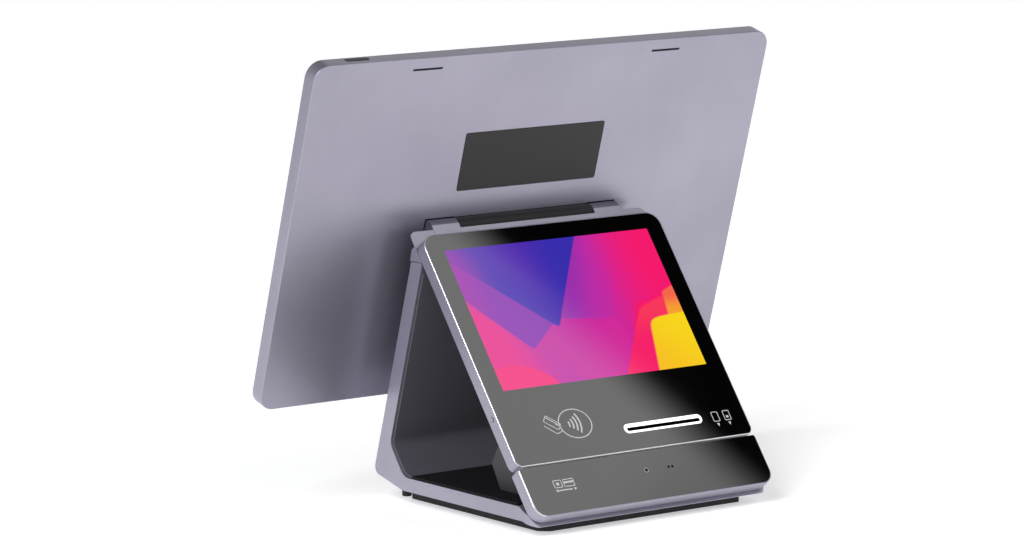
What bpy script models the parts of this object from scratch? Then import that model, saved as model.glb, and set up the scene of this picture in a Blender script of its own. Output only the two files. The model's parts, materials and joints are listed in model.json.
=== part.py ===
"""Point-of-sale terminal: a merchant display hinged on an A-shaped metal stand whose front
slope carries a customer screen, a card reader and a swipe bar.

Metres and degrees, +Z up. The origin is the centre of the base pad's underside. The customer
stands at -Y and the merchant at +Y. Three frames hold the pieces: the stand's own frame, the
customer slope (x across, y into the slab, z up the slope) and the display, whose frame sits on
the tilt hinge's axis (x across, y towards the merchant, z up the display).
"""
import math

import bmesh
import bpy
from mathutils import Matrix, Vector

# Clearances
GAP = 0.0003
RUNNING_GAP = 0.0005

# Merchant display
DISPLAY_WIDTH = 0.3355
DISPLAY_HEIGHT = 0.2162
DISPLAY_THICKNESS = 0.00956
DISPLAY_CORNER = 0.010
DISPLAY_BACK_WALL = 0.0011
DISPLAY_SIDE_WALL = 0.0014
DISPLAY_GLASS_THICKNESS = 0.0008
DISPLAY_LEAN = 16.9
DISPLAY_RISE = 0.0015
PANEL_SIDE_BORDER = 0.00825
PANEL_END_BORDER = 0.0151
PANEL_THICKNESS = 0.0015

# Tilt hinge
HINGE_Y = 0.05114
HINGE_Z = 0.16169
KNUCKLE_RADIUS = 0.00625
KNUCKLE_SINK = 0.00375
KNUCKLE_TAB_LENGTH = 0.0076
KNUCKLE_TAB_THICKNESS = 0.0030
KNUCKLE_INNER_X = 0.0502
KNUCKLE_OUTER_X = 0.0699
KNUCKLE_END_WALL = 0.0017
KNUCKLE_CLEARANCE = 0.00075
SLEEVE_RADIUS = 0.0042
SHAFT_RADIUS = 0.0020
SHAFT_GRIP = 0.022
SHAFT_WALL = 0.001
BARREL_WALL = 0.00125
POCKET_WALL = 0.0006

# Customer slope
SLOPE_Y = -0.0797
SLOPE_Z = 0.01284
SLOPE_LEAN = 37.05
SLOPE_WIDTH = 0.1758
SLOPE_LENGTH = 0.1872
SLAB_THICKNESS = 0.00844
SLAB_SIDE_WALL = 0.0010
SLAB_REAR_WALL = 0.0012
SLAB_GLASS_THICKNESS = 0.0012
SLAB_GLASS_INSET = 0.0001
UNIT_TOP_CORNER = 0.0092
UNIT_BOTTOM_CORNER = 0.0050
BAR_LENGTH = 0.0319
BAR_BOTTOM_CORNER = 0.0085
BAR_TOP_CORNER = 0.0015
BAR_FLOOR = 0.0016
BAR_ROOM_HALF = 0.080
BAR_ROOM_LOW = 0.0080
BAR_ROOM_RIM = 0.0015
SWIPE_SLOT = 0.0009
SLAB_EDGE = 0.0004

# Customer screen, card reader and antenna on the slope
SCREEN_WIDTH = 0.1508
SCREEN_HEIGHT = 0.0942
SCREEN_CENTRE = 0.12885
SCREEN_BORDER = 0.0034
SCREEN_THICKNESS = 0.0022
CARD_X = 0.0259
CARD_S = 0.0473
CARD_RING_LENGTH = 0.0580
CARD_RING_HEIGHT = 0.0060
CARD_SLOT_LENGTH = 0.0546
CARD_SLOT_HEIGHT = 0.0016
READER_LENGTH = 0.0640
READER_HEIGHT = 0.0110
READER_DEPTH = 0.0370
ANTENNA_X = -0.0380
ANTENNA_S = 0.0560
ANTENNA_LENGTH = 0.0600
ANTENNA_HEIGHT = 0.0340
ANTENNA_TRACK = 0.0030
ANTENNA_CORNER = 0.005
ANTENNA_THICKNESS = 0.0004
BOARD_THICKNESS = 0.0012
BOARD_SIDE_ROOM = 0.0072
BOARD_TOP_ROOM = 0.011
BOARD_ABOVE_CARD = 0.010

# Stand
BASE_UNDERSIDE = 0.0086
BASE_TOP = 0.0167
BASE_FRONT_CORNER = 0.0090
BASE_NOSE_Y = -0.0613
BASE_NOSE_DROP = 0.0042
BASE_NOSE_ROUND = 0.0015
DROOP_Y = -0.0644
DROOP_TIP_Z = 0.0054
DROOP_TIP_ROUND = 0.0003
LEG_SETBACK = 0.0132
LEG_THICKNESS = 0.0104
LEG_TOP_Z = 0.1461
HEEL_Y = 0.0515
HEEL_FACET_ANGLE = 54.0
HEEL_TOP_RADIUS = 0.008
HEEL_BOTTOM_RADIUS = 0.010
REAR_SLOPE_Y = 0.0528
REAR_SLOPE_ANGLE = 14.3
REAR_CORNER = 0.0045
REAR_BEND = 0.012
FRAME_EDGE = 0.0005
HEAD_SETBACK = 0.0112
HEAD_PLATE = 0.0037
HEAD_TOP_S = 0.1952
HEAD_WIDTH = 0.1748
HEAD_CORNER = 0.005
HEAD_EDGE = 0.0006
HEAD_BEND = 0.003
HEAD_CHAMFER = 0.0032
TENON_FRONT = LEG_SETBACK + 0.0074
TENON_BACK = LEG_SETBACK + 0.0022
TENON_X = 0.060
TENON_DEPTH = 0.030
TENON_TOP = -0.009
HEAD_SCREW_X = 0.040
HEAD_SCREW_Z = -0.0225
HEAD_SCREW_RECESS = 0.0016
HEAD_SCREW_REACH = 0.0042
INNER_COVER_THICKNESS = 0.0012
INNER_COVER_WIDTH = 0.1732
INNER_COVER_DROP = 0.006
BLOCK_WIDTH = 0.140
BLOCK_REAR_Y = -0.0199
BLOCK_KNEE_Y = -0.0109
BLOCK_KNEE_Z = 0.0320
BLOCK_TOP_Z = 0.0647
BLOCK_KNEE_ROUND = 0.003
BLOCK_EDGE = 0.0008

# Foot of the stand
PAD_WIDTH = 0.1461
PAD_LENGTH = 0.1282
PAD_CHAMFER = 0.0057
PAD_EDGE = 0.0006
PAD_HEIGHT = BASE_UNDERSIDE - GAP
PAD_FLOOR = 0.0033
BALLAST_WIDTH = 0.104
BALLAST_LENGTH = 0.090
FOOT_X = 0.0696
FOOT_Y = 0.0737
FOOT_RADIUS = 0.0029

# Screws
BASE_SCREW_X = 0.0630
BASE_SCREW_FRONT_Y = -0.0450
BASE_SCREW_REAR_Y = 0.0540
BASE_SCREW_RADIUS = 0.0015
BASE_SCREW_HEAD_RADIUS = 0.0030
BASE_SCREW_HEAD_HEIGHT = 0.0023
BASE_SCREW_THREAD = 0.0050
BASE_SCREW_BLOCK_THREAD = 0.0080
SMALL_SCREW_RADIUS = 0.0012
SMALL_SCREW_HEAD_RADIUS = 0.0025
SMALL_SCREW_HEAD_HEIGHT = 0.0005
SMALL_SCREW_POST_WALL = 0.002

# Display fittings
LABEL_WIDTH = 0.1025
LABEL_HEIGHT = 0.0365
LABEL_CENTRE = 0.0411
LABEL_THICKNESS = 0.0004
LABEL_CORNER = 0.0015
VENT_X = 0.0879
VENT_Z = 0.1025
VENT_LENGTH = 0.0214
VENT_WIDTH = 0.0013
BUTTON_X = -0.1355
BUTTON_LENGTH = 0.0164
BUTTON_WIDTH = 0.0036
BUTTON_SETBACK = 0.0057
BUTTON_PROUD = 0.0002
BUTTON_FLANGE = 0.0010
BUTTON_FLANGE_SIDE = 0.0007
BUTTON_TRAVEL = 0.0005
PORT_Z = (-0.060, -0.040, -0.020)
PORT_NAMES = ("power_inlet", "accessory_port_1", "accessory_port_2")
PORT_LENGTH = 0.00894
PORT_HEIGHT = 0.00316
PORT_DEPTH = 0.0065
PORT_WALL = 0.0003
PORT_SETBACK = 0.0048
PORT_TONGUE_HALF = 0.0033
PORT_TONGUE_THICKNESS = 0.0007
PORT_BOARD_THICKNESS = 0.0011
BRACKET_X = 0.062
BRACKET_Z = 0.024
BRACKET_PLATE = 0.0010
BRACKET_SCREW_X = 0.054
BRACKET_SCREW_Z = 0.0175

# Slope fittings
KEY_S = 0.0665
KEY_RADIUS = 0.00125
KEY_TRAVEL = 0.0004
KEY_PROUD = 0.0003
KEY_FLANGE = 0.0008
KEY_SWITCH_HALF = 0.002
HEAD_FLOAT = 0.0005
MSR_X = -0.0300
MSR_LENGTH = 0.0120
MSR_HEIGHT = 0.0095
MSR_PROUD = 0.0004
MSR_DEPTH = 0.0044
MSR_BEHIND_GLASS = 0.0009
SPRING_HALF = 0.010
SPRING_THICKNESS = 0.0004
CAMERA_S = 0.0196
CAMERA_RADIUS = 0.0026
MIC_X = (0.0165, 0.0192)
MIC_RADIUS = 0.0006

ROUND_STEP = math.radians(15)
ROUND_SEGMENTS = 24
FINE_SEGMENTS = 40
FLAT_END = 0.00003
PAST = 0.001

# Planes that outlines are drawn on: where (a, b, depth) goes, and the sign of the depth
SIDE = (Matrix(((0, 0, 1, 0), (1, 0, 0, 0), (0, 1, 0, 0), (0, 0, 0, 1))), 1)
FACE = (Matrix(((1, 0, 0, 0), (0, 0, -1, 0), (0, 1, 0, 0), (0, 0, 0, 1))), -1)
TOP = (Matrix.Identity(4), 1)

METAL = ((0.40, 0.38, 0.45), 0.38, 1.0)
BLACK_GLASS = ((0.008, 0.008, 0.010), 0.06, 0.0)
DARK_PLASTIC = ((0.022, 0.021, 0.026), 0.55, 0.0)
RUBBER = ((0.012, 0.012, 0.012), 0.80, 0.0)
STEEL = ((0.45, 0.45, 0.46), 0.35, 1.0)
PANEL = ((0.05, 0.05, 0.07), 0.30, 0.0)
BOARD = ((0.01, 0.12, 0.05), 0.50, 0.0)
LIGHT_GUIDE = ((0.85, 0.85, 0.85), 0.30, 0.0)
COPPER = ((0.60, 0.30, 0.18), 0.35, 1.0)
BRONZE = ((0.45, 0.30, 0.14), 0.40, 1.0)


# ---------------------------------------------------------------- geometry helpers

def filleted(corners):
    """Closed outline of straight runs; each corner is (a, b, radius) and is rounded to it."""
    outline = []
    for index, (a, b, radius) in enumerate(corners):
        here = Vector((a, b))
        if radius == 0:
            outline.append(here)
            continue
        before = (Vector(corners[index - 1][:2]) - here).normalized()
        after = (Vector(corners[(index + 1) % len(corners)][:2]) - here).normalized()
        half = before.angle(after) / 2
        centre = here + (before + after).normalized() * (radius / math.sin(half))
        spoke = here + before * (radius / math.tan(half)) - centre
        sweep = math.pi - 2 * half
        side = 1 if before.cross(after) < 0 else -1
        steps = max(1, math.ceil(sweep / ROUND_STEP))
        for step in range(steps + 1):
            turn = Matrix.Rotation(side * sweep * step / steps, 2)
            outline.append(centre + turn @ spoke)
    return outline


def rectangle(low_a, high_a, low_b, high_b, radius=0.0):
    """Outline of a rectangle with one corner radius."""
    return filleted([
        (low_a, low_b, radius),
        (high_a, low_b, radius),
        (high_a, high_b, radius),
        (low_a, high_b, radius),
    ])


def stadium(centre_a, centre_b, length, height):
    """Outline of a slot with round ends, long in a."""
    radius = height / 2 - FLAT_END
    return rectangle(centre_a - length / 2, centre_a + length / 2,
                     centre_b - height / 2, centre_b + height / 2, radius)


def circle(centre_a, centre_b, radius, segments=ROUND_SEGMENTS):
    """Outline of a circle."""
    turns = [2 * math.pi * step / segments for step in range(segments)]
    return [Vector((centre_a + radius * math.cos(turn), centre_b + radius * math.sin(turn)))
            for turn in turns]


def heading(degrees_from_vertical):
    """Unit vector in the YZ plane that points up and leans towards +Y by the angle."""
    angle = math.radians(degrees_from_vertical)
    return Vector((math.sin(angle), math.cos(angle)))


def crossing(line_a, line_b):
    """Point where two lines of the YZ plane meet; a line is (point, direction)."""
    point_a, along_a = line_a
    point_b, along_b = line_b
    reach = (point_b - point_a).cross(along_b) / along_a.cross(along_b)
    return point_a + along_a * reach


def corner(point, radius=0.0):
    """An outline corner at a computed point."""
    return (point.x, point.y, radius)


# ---------------------------------------------------------------- Blender helpers

def clear_scene():
    for item in list(bpy.data.objects):
        bpy.data.objects.remove(item, do_unlink=True)


def make_collection(name):
    collection = bpy.data.collections.new(name)
    bpy.context.scene.collection.children.link(collection)
    return collection


def make_material(name, look):
    colour, roughness, metallic = look
    material = bpy.data.materials.new(name)
    material.use_nodes = True
    shader = material.node_tree.nodes["Principled BSDF"]
    shader.inputs["Base Color"].default_value = (*colour, 1.0)
    shader.inputs["Roughness"].default_value = roughness
    shader.inputs["Metallic"].default_value = metallic
    material.diffuse_color = (*colour, 1.0)
    return material


def make_frame(name, location, lean):
    """Empty that carries the pieces of one frame, turned about X by its lean from vertical."""
    frame = bpy.data.objects.new(name, None)
    parts.objects.link(frame)
    frame.location = location
    frame.rotation_euler = (math.radians(lean), 0, 0)
    return frame


def add_piece(name, mesh, frame, look):
    """Part of the object: a named node with its own material, shaded smooth on its rounds."""
    mesh.shade_smooth()
    mesh.set_sharp_from_angle(angle=math.radians(32))
    piece = bpy.data.objects.new(name, mesh)
    piece.parent = frame
    parts.objects.link(piece)
    piece.data.materials.append(make_material(name, look))
    return piece


def add_tool(mesh, frame):
    """Solid that is only cut from a piece or joined to it."""
    tool = bpy.data.objects.new(mesh.name, mesh)
    tool.parent = frame
    tool.hide_render = True
    tool.display_type = "WIRE"
    tools.objects.link(tool)
    return tool


def combine(piece, operation, *meshes):
    """Cut meshes from a piece or join them to it."""
    for mesh in meshes:
        modifier = piece.modifiers.new(mesh.name, "BOOLEAN")
        modifier.operation = operation
        modifier.solver = "EXACT"
        modifier.object = add_tool(mesh, piece.parent)


def soften(piece, width, segments=2, angle=40):
    """Round the edges that are sharper than the angle."""
    bevel = piece.modifiers.new("edges", "BEVEL")
    bevel.width = width
    bevel.segments = segments
    bevel.limit_method = "ANGLE"
    bevel.angle_limit = math.radians(angle)


def place_origin(piece, point):
    """Move a piece's origin to a point of its frame and leave its shape where it is."""
    piece.data.transform(Matrix.Translation(-Vector(point)))
    piece.location = point


def plate(name, plane, low, high, *outlines):
    """Mesh of flat outlines extruded from low to high; outlines after the first are holes."""
    axes, sign = plane
    curve = bpy.data.curves.new(name, "CURVE")
    curve.dimensions = "2D"
    curve.fill_mode = "BOTH"
    curve.extrude = (high - low) / 2
    for outline in outlines:
        spline = curve.splines.new("POLY")
        spline.points.add(len(outline) - 1)
        for target, point in zip(spline.points, outline):
            target.co = (point[0], point[1], 0, 1)
        spline.use_cyclic_u = True
    holder = bpy.data.objects.new(name, curve)
    bpy.context.scene.collection.objects.link(holder)
    depsgraph = bpy.context.evaluated_depsgraph_get()
    mesh = bpy.data.meshes.new_from_object(holder.evaluated_get(depsgraph))
    bpy.data.objects.remove(holder, do_unlink=True)
    mesh.name = name
    mesh.transform(axes @ Matrix.Translation((0, 0, sign * (low + high) / 2)))
    weld(mesh)
    return mesh


def weld(mesh):
    """Join the loose caps of a mesh, merge its flat triangles and point its faces out."""
    solid = bmesh.new()
    solid.from_mesh(mesh)
    bmesh.ops.remove_doubles(solid, verts=solid.verts, dist=0.000001)
    bmesh.ops.dissolve_limit(solid, angle_limit=0.001, verts=solid.verts, edges=solid.edges)
    bmesh.ops.recalc_face_normals(solid, faces=solid.faces)
    solid.to_mesh(mesh)
    solid.free()


def box(name, low, high):
    """Mesh of a box between two corners."""
    low = Vector(low)
    high = Vector(high)
    solid = bmesh.new()
    size = Matrix.Diagonal((*(high - low), 1))
    bmesh.ops.create_cube(solid, size=1, matrix=Matrix.Translation((low + high) / 2) @ size)
    mesh = bpy.data.meshes.new(name)
    solid.to_mesh(mesh)
    solid.free()
    return mesh


def rod(name, radius, start, end, segments=ROUND_SEGMENTS):
    """Mesh of a round bar between two points."""
    start = Vector(start)
    along = Vector(end) - start
    turn = along.to_track_quat("Z", "Y").to_matrix().to_4x4()
    middle = Matrix.Translation(start + along / 2)
    solid = bmesh.new()
    bmesh.ops.create_cone(solid, cap_ends=True, segments=segments, radius1=radius,
                          radius2=radius, depth=along.length, matrix=middle @ turn)
    mesh = bpy.data.meshes.new(name)
    solid.to_mesh(mesh)
    solid.free()
    return mesh


def screw(name, frame, head_base, along, head_radius, head_height, shank_radius, shank_length,
          look=STEEL):
    """Screw whose head stands back from head_base and whose shank runs along the direction."""
    base = Vector(head_base)
    along = Vector(along).normalized()
    piece = add_piece(name, rod(name, head_radius, base - along * head_height, base), frame, look)
    overlap = head_height / 2
    shank = rod(name + "_shank", shank_radius, base - along * overlap,
                base + along * shank_length, 16)
    socket = rod(name + "_socket", shank_radius * 0.8, base - along * head_height * 2,
                 base - along * overlap, 6)
    combine(piece, "UNION", shank)
    combine(piece, "DIFFERENCE", socket)
    return piece


# ---------------------------------------------------------------- lines of the side profile

UP_SLOPE = heading(SLOPE_LEAN)
INTO_SLOPE = Vector((UP_SLOPE.y, -UP_SLOPE.x))
UP_DISPLAY = heading(-DISPLAY_LEAN)
INTO_DISPLAY = Vector((UP_DISPLAY.y, -UP_DISPLAY.x))
SLOPE_START = Vector((SLOPE_Y, SLOPE_Z))
HINGE = Vector((HINGE_Y, HINGE_Z))
ACROSS = Vector((1, 0))


def slope_line(depth):
    """Line at a depth into the customer slab, running up the slope."""
    return (SLOPE_START + INTO_SLOPE * depth, UP_SLOPE)


def slope_point(s, depth):
    """Point of the YZ plane from its place on the slope."""
    return SLOPE_START + UP_SLOPE * s + INTO_SLOPE * depth


def leg_line(setback):
    """Line parallel to the display, a setback in front of the hinge's axis."""
    return (HINGE - INTO_DISPLAY * setback, UP_DISPLAY)


def level(z):
    """Horizontal line."""
    return (Vector((0, z)), ACROSS)


def hinge_on_slope():
    """The hinge axis in the slope's frame, as (s, depth)."""
    offset = HINGE - SLOPE_START
    return offset.dot(UP_SLOPE), offset.dot(INTO_SLOPE)


def inner_corners(offset):
    """The stand's inner outline, a distance inside the A: leg top, heel top, heel bottom."""
    leg = leg_line(LEG_SETBACK + LEG_THICKNESS + offset)
    facet_way = heading(90 - HEEL_FACET_ANGLE)
    facet_out = Vector((-facet_way.y, facet_way.x))
    facet = (Vector((HEEL_Y, BASE_TOP)) + facet_out * offset, facet_way)
    floor = level(BASE_TOP + offset)
    return [
        corner(crossing(leg, slope_line(SLAB_THICKNESS + GAP + offset))),
        corner(crossing(leg, facet), HEEL_TOP_RADIUS - offset),
        corner(crossing(facet, floor), HEEL_BOTTOM_RADIUS - offset),
    ]


# ---------------------------------------------------------------- stand

def base_screw_places():
    """Name, x, y and shank length of each base screw; the front pair holds the reader block."""
    reach = {"front": BASE_TOP + BASE_SCREW_BLOCK_THREAD - PAD_HEIGHT,
             "rear": BASE_SCREW_THREAD}
    depth = {"front": BASE_SCREW_FRONT_Y, "rear": BASE_SCREW_REAR_Y}
    sides = {"left": -BASE_SCREW_X, "right": BASE_SCREW_X}
    return [(f"base_screw_{end}_{side}", sides[side], depth[end], reach[end])
            for end in ("front", "rear") for side in ("left", "right")]


def make_stand_frame():
    """Bent metal plate: base with a drooping nose, rounded heel and the leg behind the display."""
    outer = leg_line(LEG_SETBACK)
    slab_back = slope_line(SLAB_THICKNESS + GAP)
    rear_slope = (Vector((REAR_SLOPE_Y, BASE_UNDERSIDE)), heading(90 - REAR_SLOPE_ANGLE))
    nose_tip = crossing(slab_back, level(DROOP_TIP_Z))
    crotch, heel_top, heel_bottom = inner_corners(0)
    profile = filleted([
        corner(nose_tip, DROOP_TIP_ROUND),
        (DROOP_Y, BASE_UNDERSIDE, 0),
        (REAR_SLOPE_Y, BASE_UNDERSIDE, REAR_BEND),
        corner(crossing(outer, rear_slope), REAR_CORNER),
        corner(crossing(outer, level(LEG_TOP_Z))),
        corner(crossing(slab_back, level(LEG_TOP_Z))),
        crotch,
        heel_top,
        heel_bottom,
        (BASE_NOSE_Y, BASE_TOP, BASE_NOSE_ROUND),
        corner(crossing(slab_back, level(BASE_TOP - BASE_NOSE_DROP))),
    ])
    half = SLOPE_WIDTH / 2
    frame = add_piece("stand_frame", plate("stand_frame", SIDE, -half, half, profile),
                      stand, METAL)
    plan = filleted([(-half, nose_tip.x, BASE_FRONT_CORNER),
                     (half, nose_tip.x, BASE_FRONT_CORNER),
                     (half, 2 * HINGE_Y, 0), (-half, 2 * HINGE_Y, 0)])
    combine(frame, "INTERSECT", plate("base_plan", TOP, -HINGE_Z, HINGE_Z, plan))
    soften(frame, FRAME_EDGE, 2, 75)
    for name, x, y, reach in base_screw_places():
        top = PAD_HEIGHT + reach + GAP
        combine(frame, "DIFFERENCE", rod(name + "_hole", BASE_SCREW_RADIUS + GAP,
                                         (x, y, BASE_UNDERSIDE - PAST), (x, y, top)))
    return frame


def fit_head_to_leg(frame, head):
    """Tenon of the head in a slot in the leg's top, held by two screws from inside the A."""
    slot = box("leg_slot", (-TENON_X, -TENON_FRONT, -TENON_DEPTH),
               (TENON_X, -TENON_BACK, -TENON_TOP))
    tenon = box("head_tenon", (-TENON_X + GAP, -TENON_FRONT + GAP, -TENON_DEPTH + GAP),
                (TENON_X - GAP, -TENON_BACK - GAP, TENON_TOP))
    place = display_placement()
    slot.transform(place)
    tenon.transform(place)
    combine(frame, "DIFFERENCE", slot)
    combine(head, "UNION", tenon)
    face = -(LEG_SETBACK + LEG_THICKNESS)
    seat = face + HEAD_SCREW_RECESS
    for side, x in (("left", -HEAD_SCREW_X), ("right", HEAD_SCREW_X)):
        start = place @ Vector((x, face - PAST, HEAD_SCREW_Z))
        floor = place @ Vector((x, seat, HEAD_SCREW_Z))
        tip = place @ Vector((x, seat + HEAD_SCREW_REACH + GAP, HEAD_SCREW_Z))
        bore = rod(f"head_screw_bore_{side}", SMALL_SCREW_HEAD_RADIUS + GAP, start, floor)
        pilot = rod(f"head_screw_pilot_{side}", SMALL_SCREW_RADIUS + GAP, start, tip, 16)
        combine(frame, "DIFFERENCE", bore, pilot)
        combine(head, "DIFFERENCE", pilot.copy())
        head_base = place @ Vector((x, seat - GAP, HEAD_SCREW_Z))
        screw(f"head_screw_{side}", stand, head_base, tip - start, SMALL_SCREW_HEAD_RADIUS,
              HEAD_SCREW_RECESS - 2 * GAP, SMALL_SCREW_RADIUS, HEAD_SCREW_REACH)


def display_placement():
    """Matrix from the display's frame to the stand's."""
    return (Matrix.Translation((0, HINGE_Y, HINGE_Z))
            @ Matrix.Rotation(math.radians(DISPLAY_LEAN), 4, "X"))


def slope_placement():
    """Matrix from the slope's frame to the stand's."""
    return (Matrix.Translation((0, SLOPE_Y, SLOPE_Z))
            @ Matrix.Rotation(math.radians(-SLOPE_LEAN), 4, "X"))


def make_stand_head():
    """Cap of the A: a wedge behind the slab, a neck plate, and two hinge knuckles."""
    front = SLAB_THICKNESS + GAP
    back = front + HEAD_PLATE
    seam = level(LEG_TOP_Z + GAP)
    rear = leg_line(HEAD_SETBACK)
    profile = filleted([
        corner(crossing(slope_line(front), seam)),
        corner(crossing(rear, seam), HEAD_EDGE),
        corner(crossing(rear, slope_line(back)), HEAD_BEND),
        corner(slope_point(HEAD_TOP_S, back)),
        corner(slope_point(HEAD_TOP_S, front), HEAD_EDGE),
    ])
    half = HEAD_WIDTH / 2
    head = add_piece("stand_head", plate("stand_head", SIDE, -half, half, profile),
                     stand, METAL)
    limit = plate("head_outline", FACE, -HEAD_WIDTH, HEAD_WIDTH,
                  filleted([(-half, 0, 0), (half, 0, 0), (half, HEAD_TOP_S, HEAD_CORNER),
                            (-half, HEAD_TOP_S, HEAD_CORNER)]))
    limit.transform(slope_placement())
    combine(head, "INTERSECT", limit)
    bend = crossing(rear, slope_line(back)) - SLOPE_START
    combine(head, "DIFFERENCE", *neck_chamfers(half, back, bend.dot(UP_SLOPE)))
    scoop = rod("barrel_scoop", KNUCKLE_RADIUS + RUNNING_GAP,
                (-KNUCKLE_INNER_X, HINGE_Y, HINGE_Z), (KNUCKLE_INNER_X, HINGE_Y, HINGE_Z),
                FINE_SEGMENTS)
    combine(head, "DIFFERENCE", scoop)
    for side in (-1, 1):
        inner = (side * KNUCKLE_INNER_X, HINGE_Y, HINGE_Z)
        outer = (side * KNUCKLE_OUTER_X, HINGE_Y, HINGE_Z)
        combine(head, "UNION", rod("knuckle", KNUCKLE_RADIUS, inner, outer, FINE_SEGMENTS))
        combine(head, "UNION", knuckle_tab(side))
    for side in (-1, 1):
        mouth = (side * (KNUCKLE_INNER_X - PAST), HINGE_Y, HINGE_Z)
        floor = (side * (KNUCKLE_OUTER_X - KNUCKLE_END_WALL), HINGE_Y, HINGE_Z)
        combine(head, "DIFFERENCE", rod("knuckle_bore", SLEEVE_RADIUS + GAP, mouth, floor))
    return head


def neck_chamfers(half, back, low):
    """Cutters for the neck plate's rear side edges, from a height on the slope upwards."""
    wide = 2 * HEAD_CHAMFER
    chamfers = []
    for side in (-1, 1):
        outline = [(side * (half - wide), back + HEAD_CHAMFER),
                   (side * (half + HEAD_CHAMFER), back + HEAD_CHAMFER),
                   (side * (half + HEAD_CHAMFER), back - wide)]
        chamfer = plate("neck_chamfer", TOP, low, HEAD_TOP_S + HEAD_CHAMFER, outline)
        chamfer.transform(slope_placement())
        chamfers.append(chamfer)
    return chamfers


def knuckle_tab(side):
    """Tab of the neck plate that curls into a knuckle, flush with the knuckle's front."""
    hinge_s, hinge_depth = hinge_on_slope()
    front = hinge_depth - KNUCKLE_RADIUS
    low_x, high_x = sorted((side * KNUCKLE_INNER_X, side * KNUCKLE_OUTER_X))
    tab = box("knuckle_tab", (low_x, front, hinge_s - KNUCKLE_TAB_LENGTH),
              (high_x, front + KNUCKLE_TAB_THICKNESS, hinge_s))
    tab.transform(slope_placement())
    return tab


def make_friction_sleeves():
    """Torque sleeve in each knuckle, which grips the display's shaft."""
    for name, side in (("friction_sleeve_left", -1), ("friction_sleeve_right", 1)):
        mouth = (side * (KNUCKLE_INNER_X + GAP), HINGE_Y, HINGE_Z)
        floor = (side * (KNUCKLE_OUTER_X - KNUCKLE_END_WALL - GAP), HINGE_Y, HINGE_Z)
        sleeve = add_piece(name, rod(name, SLEEVE_RADIUS, mouth, floor), stand, BRONZE)
        past = Vector((side * PAST, 0, 0))
        combine(sleeve, "DIFFERENCE", rod(name + "_bore", SHAFT_RADIUS + GAP,
                                          Vector(mouth) - past, Vector(floor) + past))


def make_inner_cover():
    """Dark liner over the leg's inner face, the heel and the base, which hides the cables."""
    near = inner_corners(GAP)
    far = inner_corners(GAP + INNER_COVER_THICKNESS)
    top = level(LEG_TOP_Z - INNER_COVER_DROP)
    block_foot = Vector((BLOCK_REAR_Y, BASE_TOP + GAP))
    block_rear = (block_foot, Vector((BLOCK_KNEE_Y, BLOCK_KNEE_Z)) - block_foot)
    cover_top = level(BASE_TOP + GAP + INNER_COVER_THICKNESS)
    front = crossing(block_rear, cover_top).x + GAP
    leg_near = leg_line(LEG_SETBACK + LEG_THICKNESS + GAP)
    leg_far = leg_line(LEG_SETBACK + LEG_THICKNESS + GAP + INNER_COVER_THICKNESS)
    profile = filleted([
        corner(crossing(leg_near, top)),
        corner(crossing(leg_far, top)),
        far[1],
        far[2],
        (front, BASE_TOP + GAP + INNER_COVER_THICKNESS, 0),
        (front, BASE_TOP + GAP, 0),
        near[2],
        near[1],
    ])
    half = INNER_COVER_WIDTH / 2
    add_piece("inner_cover", plate("inner_cover", SIDE, -half, half, profile),
              stand, DARK_PLASTIC)


def make_reader_block():
    """Housing behind the slope's lower part that holds the card reader on the base."""
    face = slope_line(SLAB_THICKNESS + GAP)
    profile = filleted([
        corner(crossing(face, level(BASE_TOP + GAP))),
        (BLOCK_REAR_Y, BASE_TOP + GAP, 0),
        (BLOCK_KNEE_Y, BLOCK_KNEE_Z, BLOCK_KNEE_ROUND),
        corner(crossing(face, level(BLOCK_TOP_Z))),
    ])
    half = BLOCK_WIDTH / 2
    block = add_piece("reader_block", plate("reader_block", SIDE, -half, half, profile),
                      stand, DARK_PLASTIC)
    soften(block, BLOCK_EDGE, 2, 60)
    pocket = box("reader_pocket",
                 (CARD_X - READER_LENGTH / 2 - GAP, 0, CARD_S - READER_HEIGHT / 2 - GAP),
                 (CARD_X + READER_LENGTH / 2 + GAP, reader_back() + GAP,
                  CARD_S + READER_HEIGHT / 2 + GAP))
    pocket.transform(slope_placement())
    combine(block, "DIFFERENCE", pocket)
    for name, x, y, reach in base_screw_places():
        if "front" in name:
            top = PAD_HEIGHT + reach + GAP
            combine(block, "DIFFERENCE", rod(name + "_thread", BASE_SCREW_RADIUS + GAP,
                                             (x, y, BASE_TOP - PAST), (x, y, top)))


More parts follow.
